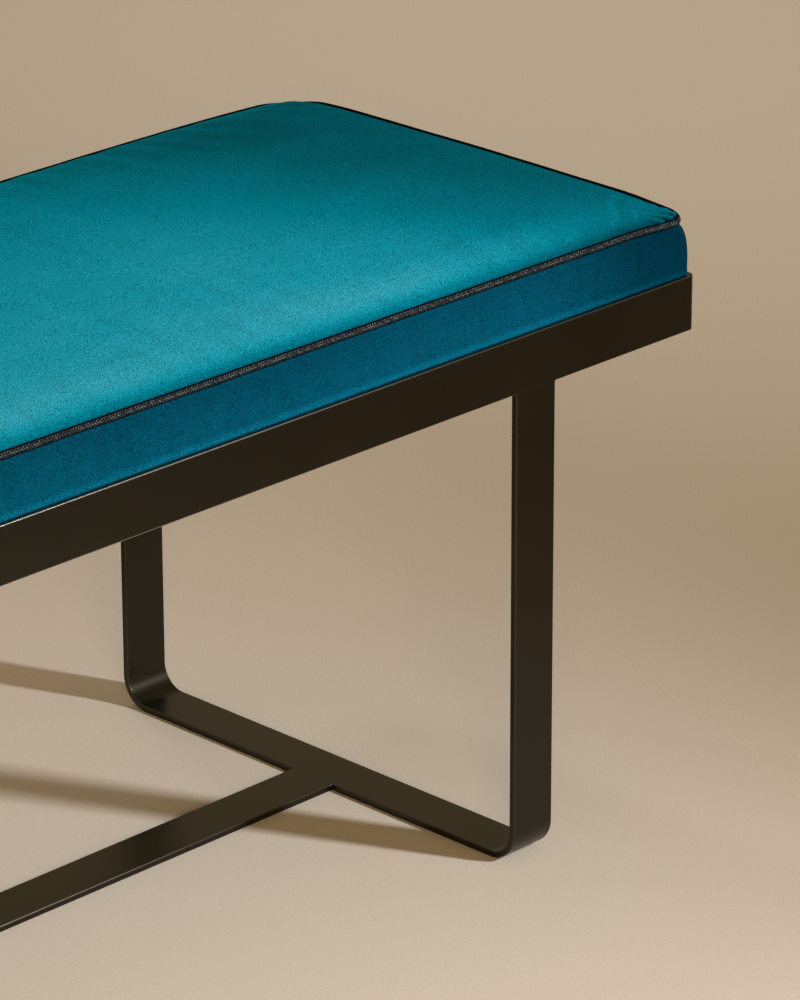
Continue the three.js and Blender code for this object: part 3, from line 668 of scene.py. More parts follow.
def panel_level(x, y):
    """Inset and height of the panel: it laps over the cord in front, and is lower at the ends.

    The gathers behind are two cosines of the way along, which fade inwards in the same way as the
    scallops."""
    in_x, in_y = HALF_X - np.abs(x), HALF_Y - np.abs(y)
    front = smooth(-y, HALF_Y - LAP_REACH, HALF_Y)
    end = smooth(-in_x, -LAP_REACH, 0)
    scallops = SCALLOP * scallop_wave(x, y)
    turns = [2 * np.pi * x / pitch for pitch in GATHER_PITCHES]
    wave = np.cos(turns[0]) + np.cos(turns[1] + GATHER_SHIFT)
    gathers = GATHER * wave * np.exp(-in_y / GATHER_FADE) * smooth(in_x, 0, GATHER_START) * (y > 0)
    side_lift = PANEL_LIFT + (BACK_LIFT - PANEL_LIFT) * smooth(y, 0, HALF_Y)
    lift = side_lift + (END_LIFT - side_lift) * end * (1 - front)
    inset = PANEL_EDGE - FRONT_LAP * front - SCALLOP_OUT * scallops
    return inset, SEAM_HEIGHT + lift + scallops + gathers


panel_inset, panel_height = panel_level(SHEET_X, SHEET_Y)
cover_top = (panel_inset, PANEL_CORNER, panel_height, 1)
cover = skin("velvet_cover", cover_levels, cover_top)
print(f"cover: {len(cover_levels)} rings of {len(rim(SHEET_X))} points, {len(cover.data.vertices)} in all")

# %% [markdown]
# ## Pile and painted light
# A hand that strokes velvet leaves it light one way and dark the other, and on a tight pad the pile
# opens where the cloth curves most. Brush strokes could be painted on, but a painted picture ends at
# its pixels. Here one number per point, from smooth steps along the pad, holds how far the pile is
# brushed up together with painted light and shade: a painted highlight on the crest behind the front
# cord, painted shade towards the ends and the back, along the front cord and in the groove at the
# tray, and painted light beside the other cords, on the scallops and low on the sides. The material
# turns it into colour.

# %% Pile and painted light of the panel
# Painted light on the panel: a painted highlight on the crest, painted shade towards the ends, the back and
# the front cord, a painted rim light beside the other cords, and painted light and shade on the scallops.
CREST_Y, CREST_WIDTH = 182 * MM, 28 * MM  # the band behind the front cord where the panel curves most
PANEL_PILE, CREST_HIGHLIGHT = 0.76, 0.10
END_PAINTED_SHADE, END_FROM, END_TO = 0.71, 226 * MM, 550 * MM
END_SLANT, CREST_PUSH = 0.38, 30 * MM  # towards the end the loss sets in earlier behind, later on the crest
BACK_PAINTED_SHADE, BACK_FROM, BACK_TO = 0.43, -106 * MM, 294 * MM
FRONT_SEAM_FADE, OTHER_SEAM_FADE = 8.5 * MM, 3 * MM
SEAM_RIM_LIGHT, SCALLOP_LIGHT_AND_SHADE = 0.35, 0.7


def point_array(made):
    """The points of a mesh as rows."""
    flat = np.empty(3 * len(made.data.vertices), np.float32)
    made.data.vertices.foreach_get("co", flat)
    return flat.reshape(-1, 3)


def panel_light_and_pile(made):
    """How far the pile of the panel is brushed up, with painted light and shade, as a product of smooth
    steps.

    A painted highlight makes it most on the crest, a bell curve behind the front cord; painted shade
    makes it less towards the ends and the back, and least against that cord; a painted rim light makes
    it a little more beside the other cords, and painted light and shade make it more and less on the
    scallops."""
    x, y = np.abs(point_array(made)[:, 0]), point_array(made)[:, 1]
    crest = np.exp(-(((y + CREST_Y) / CREST_WIDTH) ** 2))
    ends = 1 - END_PAINTED_SHADE * smooth(x + END_SLANT * y - CREST_PUSH * crest, END_FROM, END_TO)
    back = 1 - BACK_PAINTED_SHADE * smooth(y, BACK_FROM, BACK_TO)
    front_cord_shade = np.exp(-(HALF_Y + y).clip(0) / FRONT_SEAM_FADE)
    other_cords_rim_light = np.exp(-np.minimum(HALF_Y - y, HALF_X - x).clip(0) / OTHER_SEAM_FADE)
    even = (PANEL_PILE + CREST_HIGHLIGHT * crest) * ends * back
    return even * (1 - front_cord_shade + SEAM_RIM_LIGHT * other_cords_rim_light + SCALLOP_LIGHT_AND_SHADE * scallop_wave(x, y))


# %% Pile and painted light of the sides
# Painted light and shade on the sides: painted sheen lower down, painted light where the side turns in over
# the tray, painted shade near the ends, and a painted black shadow in the groove at the tray's top.
SIDE_PILE = 0.31  # just below the cord
LOW_PAINTED_SHEEN, LOW_FROM, LOW_TO = 0.13, 6 * MM, 40 * MM  # what it gains down the side
RIM_PAINTED_LIGHT, RIM_FROM, RIM_TO = 0.45, 39.5 * MM, 46.5 * MM  # and where the side turns in to the tray
SIDE_END_PAINTED_SHADE, SIDE_END_FROM, SIDE_END_TO = 0.65, 420 * MM, 585 * MM
GROOVE_FROM, GROOVE_TO = -0.7 * MM, 0.6 * MM  # around the tray's top it ends in the dark


def side_light_and_pile(made):
    """How far the pile of the sides is brushed up, with painted light and shade, as a sum and a product of
    smooth steps.

    Painted sheen makes it more towards the tray and painted light more where the side turns in over it;
    painted shade makes it less near the ends, and nothing where the side goes down into the tray."""
    x, _, z = np.abs(point_array(made).T)
    deep = SEAM_HEIGHT - z
    lean = SIDE_PILE + LOW_PAINTED_SHEEN * smooth(deep, LOW_FROM, LOW_TO) + RIM_PAINTED_LIGHT * smooth(deep, RIM_FROM, RIM_TO)
    ends = 1 - SIDE_END_PAINTED_SHADE * smooth(x, SIDE_END_FROM, SIDE_END_TO)
    return lean * ends * smooth(z, RAIL_TOP + GROOVE_FROM, RAIL_TOP + GROOVE_TO)


on_panel = np.arange(len(cover.data.vertices)) < SHEET_X.size
painted_light_and_pile = np.where(on_panel, panel_light_and_pile(cover), side_light_and_pile(cover))
add_attribute(cover, "panel", on_panel)
add_attribute(cover, "light_and_pile", painted_light_and_pile)
print(f"pile: {painted_light_and_pile[on_panel].mean():.2f} on the panel, {painted_light_and_pile[~on_panel].mean():.2f} round it")

# %% [markdown]
# ## Let the velvet settle
# A pad from a formula is a little too perfect. Cloth simulation alone would blow it up like an
# airbed and drag the seam along. So the velvet is pinned at the seam and in the tray, blown up a
# little for a few frames, and only the fine part of its movement is kept: what is left when each
# point's movement is compared with that of its neighbourhood.

# %% Let the velvet settle
SETTLE_FRAMES = 20
PRESSURE = 4
GROWTH = 0.008  # how much more cloth there is than the form needs
EVEN_STEPS = 40
MOST_MOVE = 0.9 * MM
WRINKLE_REACH = 50 * MM
MIDDLE_SHARE = 0.25
PIN_REACH = 12 * MM  # the panel gets free over this way in from the seam
PINNED_FORMS = 0.1, 0.9  # the levels between these forms are free, the others held


def even_out(made, values, times):
    """Replaces each point's values by the mean of its own and its neighbours', a number of times."""
    ends = np.empty(2 * len(made.data.edges), np.int32)
    made.data.edges.foreach_get("vertices", ends)
    first, second = ends.reshape(-1, 2).T
    here, there = np.concatenate([first, second]), np.concatenate([second, first])
    count = 1 + np.bincount(here, minlength=len(values))
    for _ in range(times):
        sums = [np.bincount(here, column[there], len(values)) + column for column in values.T]
        values = np.stack(sums, -1) / count[:, None]
    return values


def settle(made, free):
    """Cloth simulation, pinned wherever free is 0. Only its fine movement is kept, up to a most.

    In the middle of the panel less of it is kept: a share, plus the rest times e to the power of
    - the distance from the seam over the reach."""
    before = point_array(made).astype(float)
    pins = made.vertex_groups.new(name="sewn or held")
    for weight in np.unique(free):
        pins.add(np.flatnonzero(free == weight).tolist(), float(1 - weight), "REPLACE")
    cloth_modifier = made.modifiers.new("settle", "CLOTH")
    rules = cloth_modifier.settings
    rules.quality = 5
    rules.mass = 0.3
    rules.tension_stiffness = 20
    rules.compression_stiffness = 10
    rules.shear_stiffness = 8
    rules.bending_stiffness = 0.2
    rules.shrink_min = -GROWTH
    rules.use_pressure = True
    rules.uniform_pressure_force = PRESSURE
    rules.effector_weights.gravity = 0
    rules.vertex_group_mass = pins.name
    cloth_modifier.point_cache.frame_start = 1
    cloth_modifier.point_cache.frame_end = SETTLE_FRAMES
    for moment in range(1, SETTLE_FRAMES + 1):
        bpy.context.scene.frame_set(moment)
    settled = made.evaluated_get(bpy.context.evaluated_depsgraph_get())
    after = point_array(settled).astype(float)
    made.modifiers.remove(cloth_modifier)
    made.vertex_groups.remove(pins)
    bpy.context.scene.frame_set(1)
    moved = after - before
    seam_gap = np.minimum(HALF_X - np.abs(before[:, 0]), HALF_Y - np.abs(before[:, 1])).clip(0)
    kept = MIDDLE_SHARE + (1 - MIDDLE_SHARE) * np.exp(-seam_gap / WRINKLE_REACH)
    fine_move = (moved - even_out(made, moved, EVEN_STEPS)) * ((free > 0) * kept)[:, None]
    length = np.linalg.norm(fine_move, axis=1)
    fine_move *= np.minimum(1, MOST_MOVE / np.maximum(length, SMALL_LENGTH))[:, None]
    made.data.vertices.foreach_set("co", (before + fine_move).astype(np.float32).ravel())
    made.data.update()
    print(f"settled: moved {np.abs(moved).max() * 1000:.1f} mm at most, kept {length.max() * 1000:.1f} mm")


from_seam = np.minimum(HALF_X - np.abs(SHEET_X), HALF_Y - np.abs(SHEET_Y))
panel_free = smooth(from_seam, 0, PIN_REACH).ravel().round(1)
ring_free = [1.0 if PINNED_FORMS[0] < form < PINNED_FORMS[1] else 0.0 for _, _, _, form in cover_levels]
free = np.concatenate([panel_free, np.repeat(ring_free, len(rim(SHEET_X)))])
settle(cover, free)

# %% Finish the cover
rounding = cover.modifiers.new("rounding", "SUBSURF")
rounding.levels = rounding.render_levels = 1
solidify = cover.modifiers.new("velvet", "SOLIDIFY")
solidify.thickness = VELVET
solidify.offset = -1
stands_for(cover, "velvet", "top_panel", "border_band")

# %% [markdown]
# ## Foam and wadding
# They are inside the cover and never show, but a pad without a filling isn't a pad. Plain boxes
# would poke through its rounded corners, so each is a closed form on the same levels, set further
# in.

# %% Filling
FILLING_INSET = 2.2 * MM
FILLING_CORNER = 0.8  # share of the seam's corner radius
FOAM_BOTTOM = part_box("foam_core")[0][2]
FOAM_BULGE = 0.5 * MM  # how much further in the foam's side is where the cover bulges
FOAM_SHOULDER, SHOULDER_CORNER = 0.6, 0.2  # shares of the side's height and of the seam's corner radius
FOAM_EDGE, FOAM_GAP = 1.5 * MM, 1.4 * MM
WADDING = 6 * MM
WADDING_EDGE, WADDING_WAIST = 1 * MM, 0.6 * MM
WADDING_GAP, WADDING_UNDER_GAP = 0.7 * MM, 1 * MM
UNDER_VELVET = SEAM_HEIGHT - VELVET
foam_foot = (TRAY_GAP + FILLING_INSET, TRAY_CORNER, FOAM_BOTTOM, 0)
filling_sides = [
    foam_foot,
    (TRAY_GAP + FILLING_INSET, TRAY_CORNER, RAIL_TOP, 0),
    (SIDE + FILLING_INSET + FOAM_BULGE, SHOULDER_CORNER, RAIL_TOP + FOAM_SHOULDER * WALL, FOAM_SHOULDER),
]
foam_top = (PANEL_EDGE + FOAM_EDGE, FILLING_CORNER, UNDER_VELVET - WADDING - FOAM_GAP, 1)
foam = skin("foam_block", filling_sides, foam_top, (*foam_foot, 0))
stands_for(foam, "foam", "foam_core")
wadding_level = (PANEL_EDGE + WADDING_EDGE, FILLING_CORNER)
wadding_top = (*wadding_level, UNDER_VELVET - WADDING_GAP, 1)
wadding_bottom = (*wadding_level, UNDER_VELVET - WADDING - WADDING_UNDER_GAP, 1)
wadding_side = [(PANEL_EDGE + WADDING_WAIST, FILLING_CORNER, UNDER_VELVET - WADDING / 2, 1)]
wadding = skin("wadding_layer", wadding_side, wadding_top, wadding_bottom)
stands_for(wadding, "wadding", "wadding")

# %% [markdown]
# ## The piping
# The cord in the seam is a round braid, about 6 mm thick, of dark grey and black yarns. Its
# strands cross each other on the diagonal. Hundreds of separate strands would be too heavy, so it
# is one tube whose radius rises and falls where the strands cross, and whose colour follows the
# same pattern by its UV map.

# %% The line of the seam
CORD_STEP = 0.65 * MM
CORD_SIDES = 20
STRAND_PITCH = 2.3 * MM
CORD_RELIEF = 0.15 * MM
CORD_LANES = 10
CORD_WAVER = 0.25 * MM  # how far the line wanders in and out, in waves round the whole cord
WAVES, WAVE_SHARES, WAVE_SHIFT = (23, 41, 67), (0.5, 0.3, 0.2), 1.7
SEAM_STEPS = 4000  # steps along each side of the rectangle before they are evened out


def closed_path(points, step):
    """Even steps along a closed line: each coordinate read off at even shares of the whole length."""
    around = np.vstack([points, points[:1]])
    length = np.concatenate([[0], np.cumsum(np.linalg.norm(np.diff(around, axis=0), axis=1))])
    count = int(length[-1] / step)
    at = np.arange(count) * length[-1] / count
    return np.stack([np.interp(at, length, around[:, k]) for k in range(3)], -1), length[-1]


def seam_line(step):
    """The rim of the rectangle, finely divided, on the level of the seam."""
    fine = np.linspace(-1, 1, SEAM_STEPS + 1)[:-1]
    ones = np.ones(len(fine))
    x = np.concatenate([fine, ones, -fine, -ones]) * HALF_X
    y = np.concatenate([-ones, fine, ones, -fine]) * HALF_Y
    return closed_path(place_on(x, y, SEAM_INSET, 1, SEAM_HEIGHT, 1), step)


def braid_relief(along, turn):
    """Height of the crossing strands, 0 to 1: a cosine along the cord times a cosine round it."""
    return 0.5 + 0.5 * np.cos(2 * np.pi * along / STRAND_PITCH) * np.cos(CORD_LANES / 2 * turn)


print(f"seam: {seam_line(CORD_STEP)[1]:.3f} m round")


# %% The braided tube
def braided_cord(name):
    """A tube round the seam: line + radius x (out x cosine - up x sine), the radius with the relief.

    The line wanders in and out by a sum of three sines of the way round."""
    line, length = seam_line(CORD_STEP)
    rows = len(line)
    forward = np.roll(line, -1, 0) - np.roll(line, 1, 0)
    forward /= np.linalg.norm(forward, axis=1)[:, None]
    out = np.stack([forward[:, 1], -forward[:, 0], np.zeros(rows)], -1)
    out /= np.linalg.norm(out, axis=1)[:, None]
    up = np.cross(out, forward)
    up *= np.sign(up[:, 2:3])
    along = np.arange(rows) * length / rows
    phase = 2 * np.pi * along / length
    waver = sum(np.sin(k * phase + WAVE_SHIFT * k) * share for k, share in zip(WAVES, WAVE_SHARES))
    turn = np.arange(CORD_SIDES) * 2 * np.pi / CORD_SIDES
    relief = braid_relief(along[:, None], turn[None, :])
    radius = (CORD_RADIUS - CORD_RELIEF + CORD_RELIEF * relief)[..., None]
    centre = line + out * (CORD_WAVER * waver)[:, None]
    around = out[:, None, :] * np.cos(turn)[None, :, None] - up[:, None, :] * np.sin(turn)[None, :, None]
    points = centre[:, None, :] + radius * around
    per_step = np.array([length / rows / STRAND_PITCH, CORD_LANES / CORD_SIDES])
    uv = grid_corners(rows, CORD_SIDES, True, True) * per_step
    faces = grid_faces(rows, CORD_SIDES, True, True)
    print(f"{name}: {length:.3f} m of cord in {rows} rings")
    return mesh_object(name, points, [faces], SMOOTH_ALL_OVER, corner_uv=uv)


cord = braided_cord("piping_braid")
stands_for(cord, "braid", "piping_cord")

# %% [markdown]
# ## Under the seat
# A thin black cloth closes the pad from below. It is cut from a rectangle and stapled to the board
# all round, so it is nearly flat, with faint ripples that start at the staples. It rests between
# the pad and the cross bars, where the frame holds it. A simulation would sag it, but a stretched
# cloth doesn't sag, so the ripples are a formula.

# %% Under cloth
cloth_low, cloth_high = box_corners("under_cloth")
STAPLE_SPACING = 42 * MM
RIPPLE = 0.35 * MM
RIPPLE_FADE = 45 * MM
CLOTH_CELL = 6 * MM


def under_cloth(name):
    """A flat closed sheet with ripples along its rim.

    They are a cosine - 1, so they only go down, times e to the power of - the distance in over the
    fade."""
    size = cloth_high - cloth_low
    x = np.linspace(cloth_low[0], cloth_high[0], int(size[0] / CLOTH_CELL))
    y = np.linspace(cloth_low[1], cloth_high[1], int(size[1] / CLOTH_CELL))
    grid_x, grid_y = np.meshgrid(x, y)
    in_x, in_y = size[0] / 2 - np.abs(grid_x), size[1] / 2 - np.abs(grid_y)
    wave_x = (np.cos(2 * np.pi * grid_x / STAPLE_SPACING) - 1) * np.exp(-in_y / RIPPLE_FADE)
    wave_y = (np.cos(2 * np.pi * grid_y / STAPLE_SPACING) - 1) * np.exp(-in_x / RIPPLE_FADE)
    sag = RIPPLE * (wave_x + wave_y) / 2
    top = np.stack([grid_x, grid_y, cloth_high[2] + sag], -1).reshape(-1, 3)
    bottom = np.stack([grid_x, grid_y, cloth_low[2] + sag], -1).reshape(-1, 3)
    faces = grid_faces(*grid_x.shape)
    edge = rim(np.arange(grid_x.size).reshape(grid_x.shape))
    after = np.roll(edge, -1)
    side = np.stack([edge + len(top), after + len(top), after, edge], -1)
    all_faces = np.concatenate([faces, faces[:, ::-1] + len(top), side])
    return mesh_object(name, np.concatenate([top, bottom]), [all_faces], sharp_degrees=60)


cloth = under_cloth("dust_cloth")
stands_for(cloth, "under_cloth", "under_cloth")
cloth_size = (cloth_high - cloth_low)[:2]
print("under cloth: flat size", cloth_size.round(4))

# %% [markdown]
# ## Staples
# Short bent wires hold the cloth to the board, one every few centimetres. They are too small to
# model one by one, so one is made, and its points are turned and moved to all the other places.

# %% Places of the staples
STAPLE_WIDTH = 10 * MM
STAPLE_WIRE = 0.45 * MM  # half its thickness
STAPLE_LEG = 2 * MM
STAPLE_BEND = 0.8 * MM
STAPLE_BEND_STEPS = 3
STAPLE_SIDES = 6
STAPLE_SETBACK = 5 * MM  # edge of the cloth to the staples
CROSS_BAR_KEEP_OFF = 30 * MM


def staple_places():
    """Even places round a rectangle inside the cloth's edge, apart from those over a cross bar."""
    half_x, half_y = cloth_size / 2 - STAPLE_SETBACK
    x = (np.arange(int(2 * half_x / STAPLE_SPACING)) + 0.5) * STAPLE_SPACING
    y = (np.arange(int(2 * half_y / STAPLE_SPACING)) + 0.5) * STAPLE_SPACING
    x, y = x - x.mean(), y - y.mean()
    from_bars = np.abs(x[:, None] - np.array([-LEG_MIDDLE, 0, LEG_MIDDLE]))
    x = x[from_bars.min(axis=1) > CROSS_BAR_KEEP_OFF]
    rows = [(a, side * half_y, 0) for side in (-1, 1) for a in x]
    rows += [(side * half_x, b, np.pi / 2) for side in (-1, 1) for b in y]
    return np.array(rows)


# %% The wires
def staples(name):
    """A wire of six sides along a U: path + its half thickness x (beside x cosine, deep x sine).

    All the others are the same points, turned and moved."""
    bend = np.linspace(0, np.pi / 2, STAPLE_BEND_STEPS + 1)
    from_side = np.concatenate([[0], STAPLE_BEND - STAPLE_BEND * np.cos(bend)])
    high = np.concatenate([[STAPLE_LEG], STAPLE_BEND - STAPLE_BEND * np.sin(bend)])
    across = np.concatenate([from_side - STAPLE_WIDTH / 2, (STAPLE_WIDTH / 2 - from_side)[::-1]])
    path = np.stack([across, np.concatenate([high, high[::-1]])], -1)
    forward = np.gradient(path, axis=0)
    forward /= np.linalg.norm(forward, axis=1)[:, None]
    beside = np.stack([-forward[:, 1], forward[:, 0]], -1)
    turn = np.arange(STAPLE_SIDES) * 2 * np.pi / STAPLE_SIDES
    ring = path[:, None, :] + STAPLE_WIRE * beside[:, None, :] * np.cos(turn)[None, :, None]
    deep = np.broadcast_to(STAPLE_WIRE * np.sin(turn), ring.shape[:2])
    one = np.stack([ring[..., 0], deep, ring[..., 1]], -1).reshape(-1, 3)
    places = staple_places()
    cos, sin = np.cos(places[:, 2])[:, None], np.sin(places[:, 2])[:, None]
    x = places[:, :1] + one[None, :, 0] * cos - one[None, :, 1] * sin
    y = places[:, 1:2] + one[None, :, 0] * sin + one[None, :, 1] * cos
    z = np.broadcast_to(cloth_low[2] - STAPLE_WIRE + one[None, :, 2], x.shape)
    step = (np.arange(len(places)) * len(one))[:, None, None]
    tube = (grid_faces(len(path), STAPLE_SIDES, ring_columns=True)[None] + step).reshape(-1, 4)
    first_ring = np.arange(STAPLE_SIDES)
    last_ring = first_ring + (len(path) - 1) * STAPLE_SIDES
    caps = (np.stack([first_ring[::-1], last_ring])[None] + step).reshape(-1, STAPLE_SIDES)
    print(f"{name}: {len(places)} of them, with {len(one)} points each")
    return mesh_object(name, np.stack([x, y, z], -1), [tube, caps], sharp_degrees=50)


staple_row = staples("staples")
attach(staple_row, "root")

# %% [markdown]
# ## Screws and washers
# Six button-head screws come up through the cross bars into nuts in the board. A screw is round, so
# it is a profile turned round its axis, except in its socket, where the radius follows a hexagon.
# Cutting the socket with a Boolean modifier would leave a ragged mesh.

# %% Sizes of the screws
TURN_STEPS = 48
SHANK = 3 * MM  # radius
SHANK_CHAMFER = 0.6 * MM
WASHER = 1.6 * MM  # thickness
WASHER_HOLE = 3.3 * MM  # radius
WASHER_EDGE = 0.25 * MM
HEAD_RIM = 0.8 * MM  # height of the head's upright rim
HEAD_CHAMFER = 0.3 * MM
DOME_STEPS = 6
SOCKET_RIM = 2.75 * MM  # radius where the dome ends
SOCKET_HALF = 2 * MM  # half of the hexagon's width across its flats
SOCKET_FLARE = 1.06  # share by which its mouth is wider
SOCKET_MOUTH, SOCKET_DEPTH = 0.15 * MM, 2 * MM


def hexagon_radius(angle):
    """Distance from the middle of a hexagon to its side.

    It is half the hexagon's width over the cosine of the angle off the middle of that side."""
    off = (angle + np.pi / 6) % (np.pi / 3) - np.pi / 6
    return SOCKET_HALF / np.cos(off)


def turned(middle, radius, z):
    """Points of a profile turned round an upright axis: middle + radius x (cosine, sine), and z."""
    angle = np.arange(TURN_STEPS) * 2 * np.pi / TURN_STEPS
    x, y = middle[0] + radius * np.cos(angle), middle[1] + radius * np.sin(angle)
    return np.stack([x, y, np.tile(z[:, None], TURN_STEPS)], -1)


across_flats, across_corners = 2 * SOCKET_HALF / MM, 2 * hexagon_radius(np.pi / 6) / MM
print(f"socket: {across_flats:.1f} mm across its flats, {across_corners:.2f} mm across its corners")


# %% Screws
def screw(name, node):
    """From the tip down: chamfer, shank, underside of the head, rim, dome, socket edge and socket floor.

    The dome is a quarter of an ellipse: its height times the root of 1 - (1 - share) squared."""
    low, high = box_corners(node)
    head = (high[0] - low[0]) / 2
    seat = RAIL_BOTTOM - WASHER
    dome_height = seat - HEAD_RIM - low[2]
    bend = np.linspace(0, 1, DOME_STEPS + 1)[1:]
    dome_radius = head - (head - SOCKET_RIM) * bend
    dome_z = seat - HEAD_RIM - dome_height * np.sqrt(1 - (1 - bend) ** 2)
    profile = [
        (SHANK - SHANK_CHAMFER, high[2]), (SHANK, high[2] - SHANK_CHAMFER), (SHANK, seat),
        (head - HEAD_CHAMFER, seat), (head, seat - HEAD_CHAMFER), (head, seat - HEAD_RIM),
        *zip(dome_radius, dome_z),
    ]
    hexagon = hexagon_radius(np.arange(TURN_STEPS) * 2 * np.pi / TURN_STEPS)
    radius = np.array([[r] for r, _ in profile]) * np.ones(TURN_STEPS)
    radius = np.vstack([radius, hexagon * SOCKET_FLARE, hexagon, hexagon])
    z = np.array([z for _, z in profile] + [low[2], low[2] + SOCKET_MOUTH, low[2] + SOCKET_DEPTH])
    tube = grid_faces(len(z), TURN_STEPS, ring_columns=True)
    ring = np.arange(TURN_STEPS)[None, :]
    ends = [ring[:, ::-1], ring + (len(z) - 1) * TURN_STEPS]
    return mesh_object(name, turned((low + high) / 2, radius, z), [tube, *ends], sharp_degrees=40)


# %% Washers
def washer(name, node):
    """A rectangle with cut-off corners, turned round the screw."""
    low, high = box_corners(node)
    outer, inner, edge = (high[0] - low[0]) / 2, WASHER_HOLE, WASHER_EDGE
    profile = np.array([
        (inner, low[2] + edge), (inner + edge, low[2]), (outer - edge, low[2]), (outer, low[2] + edge),
        (outer, high[2] - edge), (outer - edge, high[2]), (inner + edge, high[2]), (inner, high[2] - edge),
    ])
    points = turned((low + high) / 2, profile[:, :1], profile[:, 1])
    return mesh_object(name, points, [grid_faces(len(profile), TURN_STEPS, True, True)], sharp_degrees=30)


zinc_pieces = [staple_row]
for number in range(1, 7):
    for make, word, node in ((screw, "button_screw", "seat_screw"), (washer, "flat_washer", "washer")):
        made = make(f"{word}_{number}", f"{node}_{number}")
        stands_for(made, "zinc", f"{node}_{number}")
        zinc_pieces.append(made)

# %% [markdown]
# ## Writing materials as sums
# A material is a tree of nodes. Wiring it up by hand or by a long list of links is hard to read
# back, so each number that runs through it is wrapped in a small class, and plain Python sums on it
# add the Math nodes.

# %% Wires
class Wire:
    """One number in a material. Adding, multiplying and so on makes Math nodes."""

    def __init__(self, finish, socket):
        self.finish = finish
        self.socket = socket

    def math(self, operation, *others, swapped=False):
        """One Math node on this number and then the others, or the other way round if swapped."""
        values = [self, *others]
        if swapped:
            values.reverse()
        return self.finish.node("ShaderNodeMath", {"operation": operation}, dict(enumerate(values)))

    def __add__(self, other):
        return self.math("ADD", other)

    def __sub__(self, other):
        return self.math("SUBTRACT", other)

    def __mul__(self, other):
        return self.math("MULTIPLY", other)

    def __mod__(self, other):
        return self.math("FLOORED_MODULO", other)

    def __rsub__(self, other):
        return self.math("SUBTRACT", other, swapped=True)

    def __rmod__(self, other):
        return self.math("FLOORED_MODULO", other, swapped=True)

    __radd__ = __add__
    __rmul__ = __mul__

    def clamp(self):
        """The number, but at least 0 and at most 1."""
        return self.finish.node("ShaderNodeClamp", {}, {"Value": self})

    def floor(self):
        return self.math("FLOOR")

    def sine(self):
        return self.math("SINE")

    def ramp(self, low, high, out_low=0.0, out_high=1.0):
        """From out_low at low to out_high at high by 3 t squared - 2 t cubed, and level past them."""
        values = {"Value": self, "From Min": low, "From Max": high, "To Min": out_low, "To Max": out_high}
        return self.finish.node("ShaderNodeMapRange", {"interpolation_type": "SMOOTHSTEP"}, values)


# %% Finishes
class Finish:
    """One material: a Principled shader whose constants are set on it, and wires that feed the rest."""

    def __init__(self, name, **constants):
        self.material = bpy.data.materials.new(name)
        self.material.use_nodes = True
        self.tree = self.material.node_tree
        self.shader = self.tree.nodes["Principled BSDF"]
        for words, value in constants.items():
            self.shader.inputs[words.replace("_", " ")].default_value = value
        self.place = self.node("ShaderNodeTexCoord", {}, {}, "Object")

    def node(self, kind, settings, inputs, output=0):
        """Adds a node, sets its settings and then its sockets, and gives a wire from one output."""
        added = self.tree.nodes.new(kind)
        for name, value in settings.items():
            setattr(added, name, value)
        for name, value in inputs.items():
            if isinstance(value, Wire):
                self.tree.links.new(value.socket, added.inputs[name])
            else:
                added.inputs[name].default_value = value
        return Wire(self, added.outputs[output])

    def noise(self, scale, detail=2.0, roughness=0.5, stretch=(1, 1, 1), distortion=0.0):
        """Cloudy noise on the piece's own coordinates.

        Scale counts the clouds per metre, and stretch, a factor on each axis, turns them fibrous."""
        place = self.node("ShaderNodeMapping", {}, {"Vector": self.place, "Scale": stretch})
        values = {"Vector": place, "Scale": scale, "Detail": detail}
        values |= {"Roughness": roughness, "Distortion": distortion}
        return self.node("ShaderNodeTexNoise", {}, values)

    def mix(self, share, first, second):
        """The first colour where share is 0, the second where it is 1; a plain one is red, green, blue."""
        first, second = ((*c, 1) if isinstance(c, tuple) else c for c in (first, second))
        return self.node("ShaderNodeMix", {"data_type": "RGBA"}, {0: share, 6: first, 7: second}, 2)

    def scale(self, colour, factor):
        """The colour made brighter or darker by a factor."""
        return self.node("ShaderNodeVectorMath", {"operation": "SCALE"}, {0: colour, "Scale": factor})

    def attribute(self, name):
        """The number that each point of the mesh carries under a name."""
        return self.node("ShaderNodeAttribute", {"attribute_name": name}, {}, "Fac")

    def part(self, vector, axis):
        """One coordinate of a place."""
        return self.node("ShaderNodeSeparateXYZ", {}, {0: vector}, axis)

    def feed(self, socket, wire):
        """A wire goes into one of the shader's sockets."""
        self.tree.links.new(wire.socket, self.shader.inputs[socket])

    def bump(self, height, distance, strength=1.0):
        """Shades the surface as if it rose by the height, 0 to 1, times a distance in metres."""
        values = {"Height": height, "Distance": distance, "Strength": strength}
        self.feed("Normal", self.node("ShaderNodeBump", {}, values))

    def paint(self, *pieces):
        """Gives the material to the pieces, as their only one."""
        for made in pieces:
            made.data.materials.clear()
            made.data.materials.append(self.material)
        print(f"{self.material.name}: {len(self.tree.nodes)} nodes, pieces: {len(pieces)}")


# %% [markdown]
# ## Painted steel
# The bars are powder coated in a very dark bronze. The coat is satin and has a fine orange peel. A
# clear coat, driven by the edge attribute, makes the arrises glossier, and their colour paler: there
# the powder lies thin and wears, and the paler colour is also a painted highlight, strongest in the
# middle of the bench, where the main lamp's glint falls, and weak at its ends.

